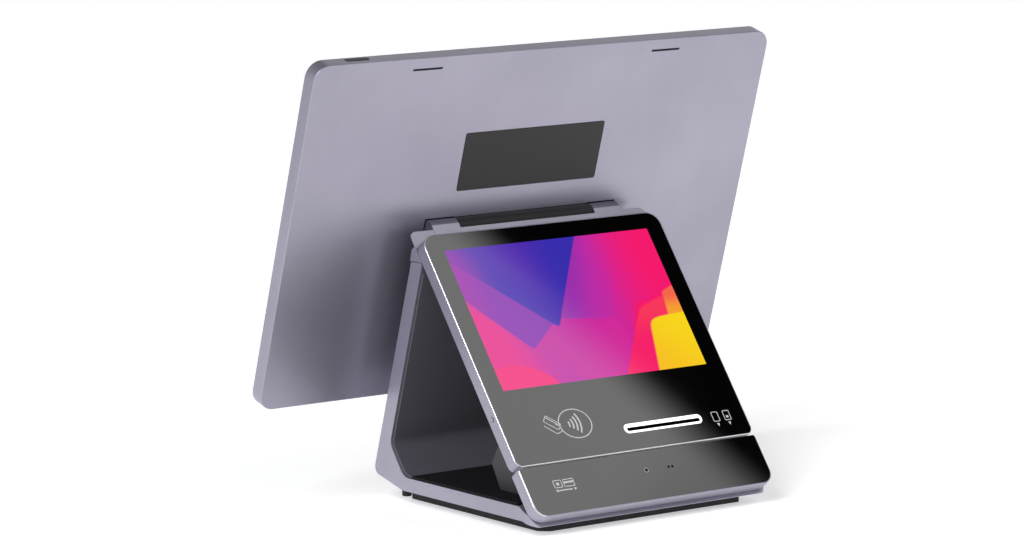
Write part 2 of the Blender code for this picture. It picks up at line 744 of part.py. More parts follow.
def make_base_foot():
    """Pad with its ballast, the four base screws and the two rear feet."""
    half_x = PAD_WIDTH / 2
    half_y = PAD_LENGTH / 2
    outline = [(-half_x + PAD_CHAMFER, -half_y), (half_x, -half_y), (half_x, half_y),
               (-half_x, half_y), (-half_x, -half_y + PAD_CHAMFER)]
    pad = add_piece("base_pad", plate("base_pad", TOP, 0, PAD_HEIGHT, outline), stand, RUBBER)
    soften(pad, PAD_EDGE, 1, 60)
    ballast_low = (-BALLAST_WIDTH / 2, -BALLAST_LENGTH / 2, PAD_FLOOR + GAP)
    ballast_high = (BALLAST_WIDTH / 2, BALLAST_LENGTH / 2, PAD_HEIGHT)
    room = Vector((GAP, GAP, GAP))
    combine(pad, "DIFFERENCE", box("ballast_recess", Vector(ballast_low) - room,
                                   Vector(ballast_high) + room * 2))
    add_piece("ballast_plate", box("ballast_plate", ballast_low, ballast_high), stand, STEEL)
    for name, x, y, reach in base_screw_places():
        combine(pad, "DIFFERENCE", rod(name + "_well", BASE_SCREW_HEAD_RADIUS + GAP,
                                       (x, y, -PAST), (x, y, PAD_HEIGHT + PAST)))
        screw(name, stand, (x, y, PAD_HEIGHT), (0, 0, 1), BASE_SCREW_HEAD_RADIUS,
              BASE_SCREW_HEAD_HEIGHT, BASE_SCREW_RADIUS, reach)
    rise = math.tan(math.radians(REAR_SLOPE_ANGLE))
    for name, side in (("rear_foot_left", -1), ("rear_foot_right", 1)):
        mesh = rod(name, FOOT_RADIUS, (side * FOOT_X, FOOT_Y, 0),
                   (side * FOOT_X, FOOT_Y, BASE_UNDERSIDE))
        for vertex in mesh.vertices:
            if vertex.co.z > BASE_UNDERSIDE / 2:
                slope_rise = (vertex.co.y - REAR_SLOPE_Y) * rise
                vertex.co.z = BASE_UNDERSIDE - GAP + slope_rise
        foot = add_piece(name, mesh, stand, RUBBER)
        soften(foot, PAD_EDGE, 2, 60)


# ---------------------------------------------------------------- customer slope

def reader_front():
    """Depth of the card reader's mouth, behind the glass's card ring."""
    return SLAB_GLASS_INSET + SLAB_GLASS_THICKNESS + 2 * GAP


def reader_back():
    return reader_front() + READER_DEPTH


def glass_back():
    """Depth of the rear face of the slope's glasses."""
    return SLAB_GLASS_INSET + SLAB_GLASS_THICKNESS


def slab_outline(low, high, low_radius, high_radius, inset=0.0):
    """Outline of a slab across the slope, with its own radii at the bottom and the top."""
    half = SLOPE_WIDTH / 2 - inset
    low_radius = max(low_radius - inset, 0.0004)
    high_radius = max(high_radius - inset, 0.0004)
    return filleted([
        (-half, low + inset, low_radius),
        (half, low + inset, low_radius),
        (half, high - inset, high_radius),
        (-half, high - inset, high_radius),
    ])


def unit_outline(inset=0.0):
    return slab_outline(BAR_LENGTH + SWIPE_SLOT, SLOPE_LENGTH, UNIT_BOTTOM_CORNER,
                        UNIT_TOP_CORNER, inset)


def bar_outline(inset=0.0):
    return slab_outline(0, BAR_LENGTH, BAR_BOTTOM_CORNER, BAR_TOP_CORNER, inset)


def card_window(name, length, height, low, high):
    """Block around the card reader's axis."""
    return box(name, (CARD_X - length / 2, low, CARD_S - height / 2),
               (CARD_X + length / 2, high, CARD_S + height / 2))


def make_unit_housing():
    """Metal tray of the customer screen and its black glass."""
    tray = add_piece("unit_frame", plate("unit_frame", FACE, 0, SLAB_THICKNESS, unit_outline()),
                     slope, METAL)
    soften(tray, SLAB_EDGE, 2, 60)
    cavity = plate("unit_cavity", FACE, -PAST, SLAB_THICKNESS - SLAB_REAR_WALL,
                   unit_outline(SLAB_SIDE_WALL))
    passage = card_window("reader_passage", READER_LENGTH + 2 * GAP, READER_HEIGHT + 2 * GAP,
                          SLAB_THICKNESS - 2 * SLAB_REAR_WALL, SLAB_THICKNESS + PAST)
    wall = -SLOPE_WIDTH / 2
    key_depth = SLAB_THICKNESS / 2
    key_hole = rod("key_hole", KEY_RADIUS + GAP, (wall - PAST, key_depth, KEY_S),
                   (wall + SLAB_SIDE_WALL + PAST, key_depth, KEY_S))
    combine(tray, "DIFFERENCE", cavity, passage, key_hole)
    ring_hole = stadium(CARD_X, CARD_S, CARD_RING_LENGTH + 2 * GAP, CARD_RING_HEIGHT + 2 * GAP)
    add_piece("unit_glass", plate("unit_glass", FACE, SLAB_GLASS_INSET, glass_back(),
                                  unit_outline(SLAB_SIDE_WALL + GAP), ring_hole),
              slope, BLACK_GLASS)


def make_unit_insides():
    """Screen panel, board, antenna loop, card reader and its lit ring."""
    half = SCREEN_WIDTH / 2 + SCREEN_BORDER
    rise = SCREEN_HEIGHT / 2 + SCREEN_BORDER
    panel_front = glass_back() + GAP
    panel_back = panel_front + SCREEN_THICKNESS
    add_piece("unit_lcd", box("unit_lcd", (-half, panel_front, SCREEN_CENTRE - rise),
                              (half, panel_back, SCREEN_CENTRE + rise)), slope, PANEL)
    board_front = panel_back + 2 * GAP
    board_half = SLOPE_WIDTH / 2 - BOARD_SIDE_ROOM
    add_piece("unit_board", box("unit_board",
                                (-board_half, board_front, CARD_S + BOARD_ABOVE_CARD),
                                (board_half, board_front + BOARD_THICKNESS,
                                 SLOPE_LENGTH - BOARD_TOP_ROOM)), slope, BOARD)
    add_piece("contactless_antenna", plate("contactless_antenna", FACE, panel_front,
                                           panel_front + ANTENNA_THICKNESS,
                                           antenna_outline(0), antenna_outline(ANTENNA_TRACK)),
              slope, COPPER)
    reader = add_piece("card_reader", card_window("card_reader", READER_LENGTH, READER_HEIGHT,
                                                  reader_front(), reader_back()),
                       slope, DARK_PLASTIC)
    combine(reader, "DIFFERENCE", card_window("card_path", CARD_SLOT_LENGTH, CARD_SLOT_HEIGHT,
                                              0, reader_back() - 0.003))
    ring = stadium(CARD_X, CARD_S, CARD_RING_LENGTH, CARD_RING_HEIGHT)
    mouth = stadium(CARD_X, CARD_S, CARD_SLOT_LENGTH, CARD_SLOT_HEIGHT)
    add_piece("card_slot_ring", plate("card_slot_ring", FACE, 0, reader_front() - GAP, ring,
                                      mouth), slope, LIGHT_GUIDE)


def antenna_outline(inset):
    half_x = ANTENNA_LENGTH / 2 - inset
    half_s = ANTENNA_HEIGHT / 2 - inset
    return rectangle(ANTENNA_X - half_x, ANTENNA_X + half_x, ANTENNA_S - half_s,
                     ANTENNA_S + half_s, ANTENNA_CORNER - inset / 2)


def make_side_key():
    """Round key in the slab's left wall, with the switch that it presses."""
    wall = -SLOPE_WIDTH / 2
    depth = SLAB_THICKNESS / 2
    flange_x = wall + SLAB_SIDE_WALL + GAP
    flange_end = flange_x + KEY_FLANGE
    key = add_piece("side_key", rod("side_key", KEY_RADIUS, (wall - KEY_PROUD, depth, KEY_S),
                                    (flange_end, depth, KEY_S)), slope, METAL)
    combine(key, "UNION", rod("key_flange", KEY_RADIUS + KEY_FLANGE, (flange_x, depth, KEY_S),
                              (flange_end, depth, KEY_S)))
    place_origin(key, (wall, depth, KEY_S))
    switch_x = flange_end + KEY_TRAVEL + GAP
    board_x = wall + BOARD_SIDE_ROOM
    switch_low = (switch_x, depth - KEY_RADIUS, KEY_S - KEY_SWITCH_HALF)
    switch_high = (board_x - GAP, depth + KEY_RADIUS, KEY_S + KEY_SWITCH_HALF)
    add_piece("key_switch", box("key_switch", switch_low, switch_high), slope, DARK_PLASTIC)


def make_bar_housing():
    """Metal tray of the swipe bar, with its black glass."""
    tray = add_piece("bar_frame", plate("bar_frame", FACE, 0, SLAB_THICKNESS, bar_outline()),
                     slope, METAL)
    soften(tray, SLAB_EDGE, 2, 60)
    seat = plate("bar_seat", FACE, -PAST, glass_back() + GAP, bar_outline(SLAB_SIDE_WALL))
    room = box("bar_room", (-BAR_ROOM_HALF, -PAST, BAR_ROOM_LOW),
               (BAR_ROOM_HALF, SLAB_THICKNESS - BAR_FLOOR, BAR_LENGTH - BAR_ROOM_RIM))
    head_x = MSR_LENGTH / 2 + GAP
    window = box("msr_window", (MSR_X - head_x, msr_front() - GAP, BAR_LENGTH - 2 * BAR_ROOM_RIM),
                 (MSR_X + head_x, msr_back() + GAP, BAR_LENGTH + PAST))
    combine(tray, "DIFFERENCE", seat, room, window)
    mics = [circle(x, CAMERA_S, MIC_RADIUS, 12) for x in MIC_X]
    add_piece("bar_glass", plate("bar_glass", FACE, SLAB_GLASS_INSET, glass_back(),
                                 bar_outline(SLAB_SIDE_WALL + GAP), *mics),
              slope, BLACK_GLASS)


def msr_front():
    """Depth of the magnetic head's front side, behind the bar's glass."""
    return glass_back() + MSR_BEHIND_GLASS


def msr_back():
    return msr_front() + MSR_DEPTH


def make_bar_insides():
    """Camera, board, and the sprung magnetic head that looks into the swipe slot."""
    board_front = SLAB_THICKNESS - BAR_FLOOR - BOARD_THICKNESS - GAP
    camera_front = glass_back() + GAP
    add_piece("bar_camera", rod("bar_camera", CAMERA_RADIUS, (0, camera_front, CAMERA_S),
                                (0, board_front - GAP, CAMERA_S)), slope, DARK_PLASTIC)
    add_piece("bar_board", box("bar_board", (-0.045, board_front, 0.0090),
                               (0.060, board_front + BOARD_THICKNESS, 0.0205)), slope, BOARD)
    top = BAR_LENGTH + MSR_PROUD
    bottom = top - MSR_HEIGHT
    half = MSR_LENGTH / 2
    head = add_piece("magnetic_head", box("magnetic_head", (MSR_X - half, msr_front(), bottom),
                                          (MSR_X + half, msr_back(), top)), slope, STEEL)
    bevel = head.modifiers.new("rounded_face", "BEVEL")
    bevel.width = 0.0005
    bevel.segments = 2
    place_origin(head, (MSR_X, (msr_front() + msr_back()) / 2, BAR_LENGTH))
    spring_top = bottom - HEAD_FLOAT - GAP
    spring_low = (MSR_X - SPRING_HALF, msr_front(), spring_top - SPRING_THICKNESS)
    spring_high = (MSR_X + SPRING_HALF, board_front - GAP, spring_top)
    add_piece("head_spring", box("head_spring", spring_low, spring_high), slope, STEEL)


# ---------------------------------------------------------------- merchant display

BACK = KNUCKLE_RADIUS - KNUCKLE_SINK
FRONT = BACK + DISPLAY_THICKNESS
INSIDE_BACK = BACK + DISPLAY_BACK_WALL
GLASS_BACK = FRONT - DISPLAY_GLASS_THICKNESS
PANEL_FRONT = GLASS_BACK - GAP
PANEL_BACK = PANEL_FRONT - PANEL_THICKNESS
DISPLAY_TOP = DISPLAY_RISE + DISPLAY_HEIGHT / 2
DISPLAY_BOTTOM = DISPLAY_RISE - DISPLAY_HEIGHT / 2
POCKET_RADIUS = KNUCKLE_RADIUS + KNUCKLE_CLEARANCE
BOSS_FRONT = POCKET_RADIUS + POCKET_WALL
BRACKET_BACK = BOSS_FRONT + GAP
BARREL_INNER_RADIUS = KNUCKLE_RADIUS - BARREL_WALL
BLOCK_HALF = SHAFT_RADIUS + GAP + SHAFT_WALL
BLOCK_BACK = math.sqrt((BARREL_INNER_RADIUS - GAP) ** 2 - BLOCK_HALF ** 2)
BUTTON_DEPTH_CENTRE = BACK + BUTTON_SETBACK
PORT_DEPTH_CENTRE = BACK + PORT_SETBACK


def display_outline(inset=0.0):
    half = DISPLAY_WIDTH / 2 - inset
    return rectangle(-half, half, DISPLAY_BOTTOM + inset, DISPLAY_TOP - inset,
                     DISPLAY_CORNER - inset)


def bracket_screw_places():
    return [(f"bracket_screw_{row}_{side}", x, z)
            for row, z in (("low", -BRACKET_SCREW_Z), ("high", BRACKET_SCREW_Z))
            for side, x in (("left", -BRACKET_SCREW_X), ("right", BRACKET_SCREW_X))]


def make_back_cover():
    """Metal shell of the display, with the hinge pocket, vents, label recess and ports."""
    cover = add_piece("display_back_cover",
                      plate("display_back_cover", FACE, BACK, FRONT, display_outline()),
                      display, METAL)
    soften(cover, FRAME_EDGE, 2, 60)
    combine(cover, "DIFFERENCE", plate("display_cavity", FACE, INSIDE_BACK, FRONT + PAST,
                                       display_outline(DISPLAY_SIDE_WALL)))
    boss_x = KNUCKLE_OUTER_X + 0.0026
    boss_z = POCKET_RADIUS + 0.0013
    root = (BACK + INSIDE_BACK) / 2
    combine(cover, "UNION", box("hinge_boss", (-boss_x, root, -boss_z),
                                (boss_x, BOSS_FRONT, boss_z)))
    for name, x, z in bracket_screw_places():
        combine(cover, "UNION", rod(name + "_post", SMALL_SCREW_RADIUS + SMALL_SCREW_POST_WALL,
                                    (x, root, z), (x, BOSS_FRONT, z), 16))
        combine(cover, "DIFFERENCE", rod(name + "_thread", SMALL_SCREW_RADIUS + GAP,
                                         (x, INSIDE_BACK + POCKET_WALL, z), (x, FRONT, z), 16))
    combine(cover, "DIFFERENCE", *hinge_pockets())
    recess = LABEL_THICKNESS + GAP / 2
    combine(cover, "DIFFERENCE", label_solid("label_recess", BACK - PAST, BACK + recess, GAP))
    for side in (-1, 1):
        vent = stadium(side * VENT_X, VENT_Z, VENT_LENGTH, VENT_WIDTH)
        combine(cover, "DIFFERENCE", plate("vent", FACE, BACK - PAST, INSIDE_BACK + PAST,
                                           vent))
    combine(cover, "DIFFERENCE", button_solid("button_slot", GAP,
                                              DISPLAY_TOP - 2 * DISPLAY_SIDE_WALL,
                                              DISPLAY_TOP + PAST))
    wall = DISPLAY_WIDTH / 2
    for z in PORT_Z:
        combine(cover, "DIFFERENCE", port_solid("port_slot", z, GAP,
                                                wall - DISPLAY_SIDE_WALL - PAST, wall + PAST))


def hinge_pockets():
    """Cutters for the barrel, for both knuckles and for the bracket's passage."""
    barrel_end = KNUCKLE_INNER_X - RUNNING_GAP
    knuckle_end = KNUCKLE_OUTER_X + KNUCKLE_CLEARANCE
    pockets = [rod("barrel_pocket", KNUCKLE_RADIUS + GAP, (-knuckle_end, 0, 0),
                   (knuckle_end, 0, 0), FINE_SEGMENTS)]
    for side in (-1, 1):
        pockets.append(rod("knuckle_pocket", POCKET_RADIUS, (side * barrel_end, 0, 0),
                           (side * knuckle_end, 0, 0), FINE_SEGMENTS))
    block_x = SHAFT_GRIP * 2 + GAP
    pockets.append(box("bracket_passage", (-block_x, 0, -BLOCK_HALF - GAP),
                       (block_x, FRONT, BLOCK_HALF + GAP)))
    return pockets


def label_solid(name, low, high, grow):
    outline = rectangle(-LABEL_WIDTH / 2 - grow, LABEL_WIDTH / 2 + grow,
                        LABEL_CENTRE - LABEL_HEIGHT / 2 - grow,
                        LABEL_CENTRE + LABEL_HEIGHT / 2 + grow, LABEL_CORNER)
    return plate(name, FACE, low, high, outline)


def button_solid(name, grow, low, high):
    """Bar with round ends across the display's top edge."""
    return plate(name, TOP, low, high,
                 stadium(BUTTON_X, BUTTON_DEPTH_CENTRE, BUTTON_LENGTH + 2 * grow,
                         BUTTON_WIDTH + 2 * grow))


def port_solid(name, z, grow, low, high):
    """Bar with round ends through the display's right edge, long in z."""
    turned = [Vector((point[1], point[0])) for point in
              reversed(stadium(z, PORT_DEPTH_CENTRE, PORT_LENGTH + 2 * grow,
                               PORT_HEIGHT + 2 * grow))]
    return plate(name, SIDE, low, high, turned)


def make_display_front():
    """Cover glass, screen panel and the mid frame around it."""
    inset = DISPLAY_SIDE_WALL + GAP
    add_piece("display_glass", plate("display_glass", FACE, GLASS_BACK, FRONT - 0.00006,
                                     display_outline(inset)), display, BLACK_GLASS)
    half = DISPLAY_WIDTH / 2 - PANEL_SIDE_BORDER
    rise = DISPLAY_HEIGHT / 2 - PANEL_END_BORDER
    add_piece("display_lcd", box("display_lcd", (-half, PANEL_BACK, DISPLAY_RISE - rise),
                                 (half, PANEL_FRONT, DISPLAY_RISE + rise)), display, PANEL)
    window = rectangle(-half - GAP, half + GAP, DISPLAY_RISE - rise - GAP,
                       DISPLAY_RISE + rise + GAP)
    frame = add_piece("display_midframe", plate("display_midframe", FACE, PANEL_BACK,
                                                PANEL_FRONT, display_outline(inset), window),
                      display, DARK_PLASTIC)
    notch_x = BUTTON_LENGTH / 2 + 0.002
    combine(frame, "DIFFERENCE", box("button_notch",
                                     (BUTTON_X - notch_x, PANEL_BACK - PAST,
                                      button_flange_low() - BUTTON_TRAVEL - GAP),
                                     (BUTTON_X + notch_x, PANEL_FRONT + PAST, DISPLAY_TOP)))


def button_flange_low():
    """Height of the underside of the power button's flange."""
    return DISPLAY_TOP - DISPLAY_SIDE_WALL - GAP - BUTTON_FLANGE


def make_power_button():
    """Sprung bar in the display's top edge, and the switch below it."""
    flange_low = button_flange_low()
    button = add_piece("power_button", button_solid("power_button", 0, flange_low,
                                                    DISPLAY_TOP + BUTTON_PROUD),
                       display, DARK_PLASTIC)
    half_x = BUTTON_LENGTH / 2 + BUTTON_FLANGE
    half_y = BUTTON_WIDTH / 2 + BUTTON_FLANGE_SIDE
    flange = box("button_flange",
                 (BUTTON_X - half_x, BUTTON_DEPTH_CENTRE - half_y, flange_low),
                 (BUTTON_X + half_x, BUTTON_DEPTH_CENTRE + half_y, flange_low + BUTTON_FLANGE))
    combine(button, "UNION", flange)
    place_origin(button, (BUTTON_X, BUTTON_DEPTH_CENTRE, DISPLAY_TOP))
    switch_top = flange_low - BUTTON_TRAVEL - GAP
    add_piece("power_switch", box("power_switch", (BUTTON_X - 0.003, BUTTON_DEPTH_CENTRE - 0.002,
                                                   switch_top - 0.0028),
                                  (BUTTON_X + 0.003, PANEL_BACK - GAP, switch_top)),
              display, DARK_PLASTIC)


def make_display_insides():
    """Board, heat spreader, speakers and their grilles, and the label plate."""
    board_back = INSIDE_BACK + GAP
    board_front = board_back + BOARD_THICKNESS
    add_piece("mainboard", box("mainboard", (-0.110, board_back, 0.028),
                               (0.060, board_front, 0.084)), display, BOARD)
    add_piece("heat_spreader", box("heat_spreader", (-0.080, board_front + GAP, 0.035),
                                   (0.030, board_front + GAP + 0.0010, 0.080)),
              display, COPPER)
    for name, side in (("left", -1), ("right", 1)):
        centre = side * VENT_X
        grille_front = board_back + 0.0005
        grille_half = VENT_LENGTH / 2 + 0.0015
        add_piece(f"vent_mesh_{name}", box(f"vent_mesh_{name}",
                                           (centre - grille_half, board_back, VENT_Z - 0.0025),
                                           (centre + grille_half, grille_front,
                                            VENT_Z + 0.0025)), display, DARK_PLASTIC)
        add_piece(f"speaker_{name}", box(f"speaker_{name}",
                                         (centre - 0.015, grille_front + GAP, VENT_Z - 0.0085),
                                         (centre + 0.015, grille_front + GAP + 0.0036,
                                          VENT_Z + 0.005)), display, DARK_PLASTIC)
    add_piece("label_plate", label_solid("label_plate", BACK - GAP / 2,
                                         BACK + LABEL_THICKNESS - GAP / 2, 0),
              display, DARK_PLASTIC)


def make_ports():
    """Oval sockets in the display's right edge, with their shared board."""
    wall = DISPLAY_WIDTH / 2
    mouth = wall - GAP
    back = mouth - PORT_DEPTH
    for name, z in zip(PORT_NAMES, PORT_Z):
        socket = add_piece(name, port_solid(name, z, 0, back, mouth), display, STEEL)
        combine(socket, "DIFFERENCE", port_solid(name + "_mouth", z, -PORT_WALL, back + PAST,
                                                 mouth + PAST))
        half = PORT_TONGUE_THICKNESS / 2
        tongue = box(name + "_tongue",
                     (back + PAST / 2, PORT_DEPTH_CENTRE - half, z - PORT_TONGUE_HALF),
                     (mouth - PAST, PORT_DEPTH_CENTRE + half, z + PORT_TONGUE_HALF))
        combine(socket, "UNION", tongue)
    reach = PORT_LENGTH / 2 + 2 * PAST
    add_piece("port_board", box("port_board", (back - GAP - PORT_BOARD_THICKNESS,
                                               INSIDE_BACK + GAP, PORT_Z[0] - reach),
                                (back - GAP, PANEL_BACK - GAP, PORT_Z[-1] + reach)),
              display, BOARD)


def make_hinge():
    """Steel bracket, two shafts and the dark barrel cover that turn with the display."""
    plate_front = BRACKET_BACK + BRACKET_PLATE
    bracket = add_piece("hinge_bracket", box("hinge_bracket",
                                             (-BRACKET_X, BRACKET_BACK, -BRACKET_Z),
                                             (BRACKET_X, plate_front, BRACKET_Z)),
                        display, STEEL)
    block_x = SHAFT_GRIP * 2
    combine(bracket, "UNION", box("bracket_block", (-block_x, -BLOCK_BACK, -BLOCK_HALF),
                                  (block_x, plate_front - BRACKET_PLATE / 5, BLOCK_HALF)))
    for name, side in (("left", -1), ("right", 1)):
        tip = (side * (KNUCKLE_OUTER_X - KNUCKLE_END_WALL - 3 * GAP), 0, 0)
        root = (side * SHAFT_GRIP, 0, 0)
        add_piece(f"hinge_shaft_{name}", rod(f"hinge_shaft_{name}", SHAFT_RADIUS, root, tip),
                  display, STEEL)
        combine(bracket, "DIFFERENCE", rod(f"shaft_bore_{name}", SHAFT_RADIUS + GAP,
                                           (side * (SHAFT_GRIP - GAP), 0, 0),
                                           (side * (block_x + PAST), 0, 0)))
    seat = plate_front - SMALL_SCREW_HEAD_HEIGHT
    for name, x, z in bracket_screw_places():
        combine(bracket, "DIFFERENCE",
                rod(name + "_seat", SMALL_SCREW_HEAD_RADIUS + GAP, (x, seat, z),
                    (x, plate_front + PAST, z)),
                rod(name + "_hole", SMALL_SCREW_RADIUS + GAP, (x, BRACKET_BACK - PAST, z),
                    (x, plate_front + PAST, z), 16))
        reach = seat - INSIDE_BACK - POCKET_WALL
        screw(name, display, (x, seat + GAP, z), (0, -1, 0), SMALL_SCREW_HEAD_RADIUS,
              SMALL_SCREW_HEAD_HEIGHT, SMALL_SCREW_RADIUS, reach)
    make_barrel_cover()


def make_barrel_cover():
    """Open tube between the knuckles that hides the bracket's block."""
    inner_radius = BARREL_INNER_RADIUS
    opening = math.asin((BLOCK_HALF + 2 * GAP) / inner_radius)
    count = 32
    turns = [opening + (2 * math.pi - 2 * opening) * step / count for step in range(count + 1)]
    outer = [Vector((KNUCKLE_RADIUS * math.cos(turn), KNUCKLE_RADIUS * math.sin(turn)))
             for turn in turns]
    inner = [Vector((inner_radius * math.cos(turn), inner_radius * math.sin(turn)))
             for turn in reversed(turns)]
    half = KNUCKLE_INNER_X - RUNNING_GAP
    add_piece("hinge_barrel_cover", plate("hinge_barrel_cover", SIDE, -half, half,
                                          outer + inner), display, DARK_PLASTIC)


# ---------------------------------------------------------------- assembly

clear_scene()
parts = make_collection("pos_touchscreen_terminal")
tools = make_collection("cutters")
stand = make_frame("stand", (0, 0, 0), 0)
slope = make_frame("customer_slope", (0, SLOPE_Y, SLOPE_Z), -SLOPE_LEAN)
display = make_frame("display_hinge", (0, HINGE_Y, HINGE_Z), DISPLAY_LEAN)

fit_head_to_leg(make_stand_frame(), make_stand_head())
make_friction_sleeves()
make_inner_cover()
make_reader_block()
make_base_foot()
make_unit_housing()
make_unit_insides()
make_side_key()
make_bar_housing()
make_bar_insides()
make_back_cover()
make_display_front()
make_power_button()
make_display_insides()
make_ports()
make_hinge()
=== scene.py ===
"""Looks of the point-of-sale terminal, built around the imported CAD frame.

Pieces are made in the frame that they belong to: the stand's, the customer slope's (x across,
y into the slab, z up the slope) or the display's (x across, y towards the merchant, z up).
"""
import json
import math

import bmesh
import bpy
from mathutils import Matrix, Vector


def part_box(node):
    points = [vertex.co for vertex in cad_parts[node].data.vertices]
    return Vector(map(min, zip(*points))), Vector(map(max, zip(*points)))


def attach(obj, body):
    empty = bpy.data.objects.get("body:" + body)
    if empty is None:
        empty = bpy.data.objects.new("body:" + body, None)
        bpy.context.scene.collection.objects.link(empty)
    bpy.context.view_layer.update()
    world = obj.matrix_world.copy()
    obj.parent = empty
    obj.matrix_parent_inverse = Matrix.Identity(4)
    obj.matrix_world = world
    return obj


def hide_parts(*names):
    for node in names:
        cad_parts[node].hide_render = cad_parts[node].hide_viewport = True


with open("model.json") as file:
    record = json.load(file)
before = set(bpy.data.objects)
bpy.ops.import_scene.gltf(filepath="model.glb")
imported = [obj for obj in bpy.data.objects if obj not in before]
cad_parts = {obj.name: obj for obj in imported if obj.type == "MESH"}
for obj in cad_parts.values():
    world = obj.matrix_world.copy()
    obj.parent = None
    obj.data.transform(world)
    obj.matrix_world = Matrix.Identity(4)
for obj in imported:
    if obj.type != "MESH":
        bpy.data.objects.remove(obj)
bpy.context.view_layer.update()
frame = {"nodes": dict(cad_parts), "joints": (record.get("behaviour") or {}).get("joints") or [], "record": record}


def new_object(name, data):
    """Object that is linked to the scene."""
    made = bpy.data.objects.new(name, data)
    bpy.context.scene.collection.objects.link(made)
    return made


# ---------------------------------------------------------------- camera

CAMERA_AZIMUTH = -36.94
CAMERA_ELEVATION = 8.51
CAMERA_ROLL = -0.29
CAMERA_DISTANCE = 2.8114
CAMERA_TARGET = Vector((0, 0.0611, 0.12517))
CAMERA_LENS = 165.1


def make_camera():
    azimuth = math.radians(CAMERA_AZIMUTH)
    elevation = math.radians(CAMERA_ELEVATION)
    back = Vector((math.sin(azimuth) * math.cos(elevation),
                   -math.cos(azimuth) * math.cos(elevation), math.sin(elevation)))
    data = bpy.data.cameras.new("camera")
    data.lens = CAMERA_LENS
    data.sensor_width = 36
    data.clip_end = 100
    camera = new_object("camera", data)
    turn = back.to_track_quat("Z", "Y").to_matrix().to_4x4()
    roll = Matrix.Rotation(math.radians(CAMERA_ROLL), 4, "Z")
    camera.matrix_world = Matrix.Translation(CAMERA_TARGET + back * CAMERA_DISTANCE) @ turn @ roll
    bpy.context.scene.camera = camera


# ---------------------------------------------------------------- frames from the CAD

JOINTS = {joint["name"]: joint for joint in frame["joints"]}
HINGE = Vector(JOINTS["display_tilt"]["pos_m"])
DOWN_DISPLAY = Vector(JOINTS["power_press"]["axis"])
DOWN_SLOPE = Vector(JOINTS["magnetic_head_float"]["axis"])
DISPLAY_LEAN = math.atan2(DOWN_DISPLAY.y, -DOWN_DISPLAY.z)
SLOPE_LEAN = math.atan2(-DOWN_SLOPE.y, -DOWN_SLOPE.z)


def local_box(node, place):
    """Lowest and highest corner of a CAD node, measured along the axes of a placement."""
    inverse = place.inverted()
    points = [inverse @ vertex.co for vertex in frame["nodes"][node].data.vertices]
    low = Vector([min(point[axis] for point in points) for axis in range(3)])
    high = Vector([max(point[axis] for point in points) for axis in range(3)])
    return low, high


def middle(node, place):
    """Middle of a CAD node's box along the axes of a placement."""
    low, high = local_box(node, place)
    return (low + high) / 2


def slope_frame():
    """Placement whose origin is the middle of the bar's lower front edge."""
    turn = Matrix.Rotation(-SLOPE_LEAN, 4, "X")
    low = local_box("bar_frame", turn)[0]
    return Matrix.Translation(turn @ Vector((0, low.y, low.z))) @ turn


STAND = Matrix.Identity(4)
SLOPE = slope_frame()
DISPLAY = Matrix.Translation(HINGE) @ Matrix.Rotation(DISPLAY_LEAN, 4, "X")

GAP = 0.0003
ARC_STEP = math.radians(5)
ROUND_SEGMENTS = 64

# Planes that outlines are drawn on: where (a, b, depth) goes, and the sign of the depth
SIDE = (Matrix(((0, 0, 1, 0), (1, 0, 0, 0), (0, 1, 0, 0), (0, 0, 0, 1))), 1)
FACE = (Matrix(((1, 0, 0, 0), (0, 0, -1, 0), (0, 1, 0, 0), (0, 0, 0, 1))), -1)
TOP = (Matrix.Identity(4), 1)


# ---------------------------------------------------------------- outlines

def filleted(corners):
    """Closed outline of straight runs; each corner is (a, b, radius) and is rounded to it."""
    outline = []
    for index, (a, b, radius) in enumerate(corners):
        here = Vector((a, b))
        if radius == 0:
            outline.append(here)
            continue
        before = (Vector(corners[index - 1][:2]) - here).normalized()
        after = (Vector(corners[(index + 1) % len(corners)][:2]) - here).normalized()
        half = before.angle(after) / 2
        centre = here + (before + after).normalized() * (radius / math.sin(half))
        spoke = here + before * (radius / math.tan(half)) - centre
        sweep = math.pi - 2 * half
        side = 1 if before.cross(after) < 0 else -1
        steps = max(2, math.ceil(sweep / ARC_STEP))
        for step in range(steps + 1):
            turn = Matrix.Rotation(side * sweep * step / steps, 2)
            outline.append(centre + turn @ spoke)
    return outline


def rectangle(low_a, high_a, low_b, high_b, radius=0.0):
    return filleted([(low_a, low_b, radius), (high_a, low_b, radius),
                     (high_a, high_b, radius), (low_a, high_b, radius)])


def centred(a, b, length, height, radius=0.0):
    """Rectangle around a centre."""
    return rectangle(a - length / 2, a + length / 2, b - height / 2, b + height / 2, radius)


def stadium(a, b, length, height):
    return centred(a, b, length, height, height / 2 * 0.995)


def oval(a, b, radius_a, radius_b, segments=72):
    turns = [2 * math.pi * step / segments for step in range(segments)]
    return [Vector((a + radius_a * math.cos(turn), b + radius_b * math.sin(turn)))
            for turn in turns]


def circle(a, b, radius, segments=ROUND_SEGMENTS):
    return oval(a, b, radius, radius, segments)


def arc(a, b, radius, turns):
    return [Vector((a + radius * math.cos(turn), b + radius * math.sin(turn)))
            for turn in turns]


def arc_band(a, b, radius, width, start, end):
    """Band along an arc between two angles in degrees, with square ends."""
    steps = 16
    turns = [math.radians(start + (end - start) * step / steps) for step in range(steps + 1)]
    return (arc(a, b, radius + width / 2, turns)
            + arc(a, b, radius - width / 2, reversed(turns)))


def turned(outline, centre, degrees):
    """Outline turned about a point."""
    turn = Matrix.Rotation(math.radians(degrees), 2)
    pivot = Vector(centre)
    return [pivot + turn @ (Vector(point) - pivot) for point in outline]


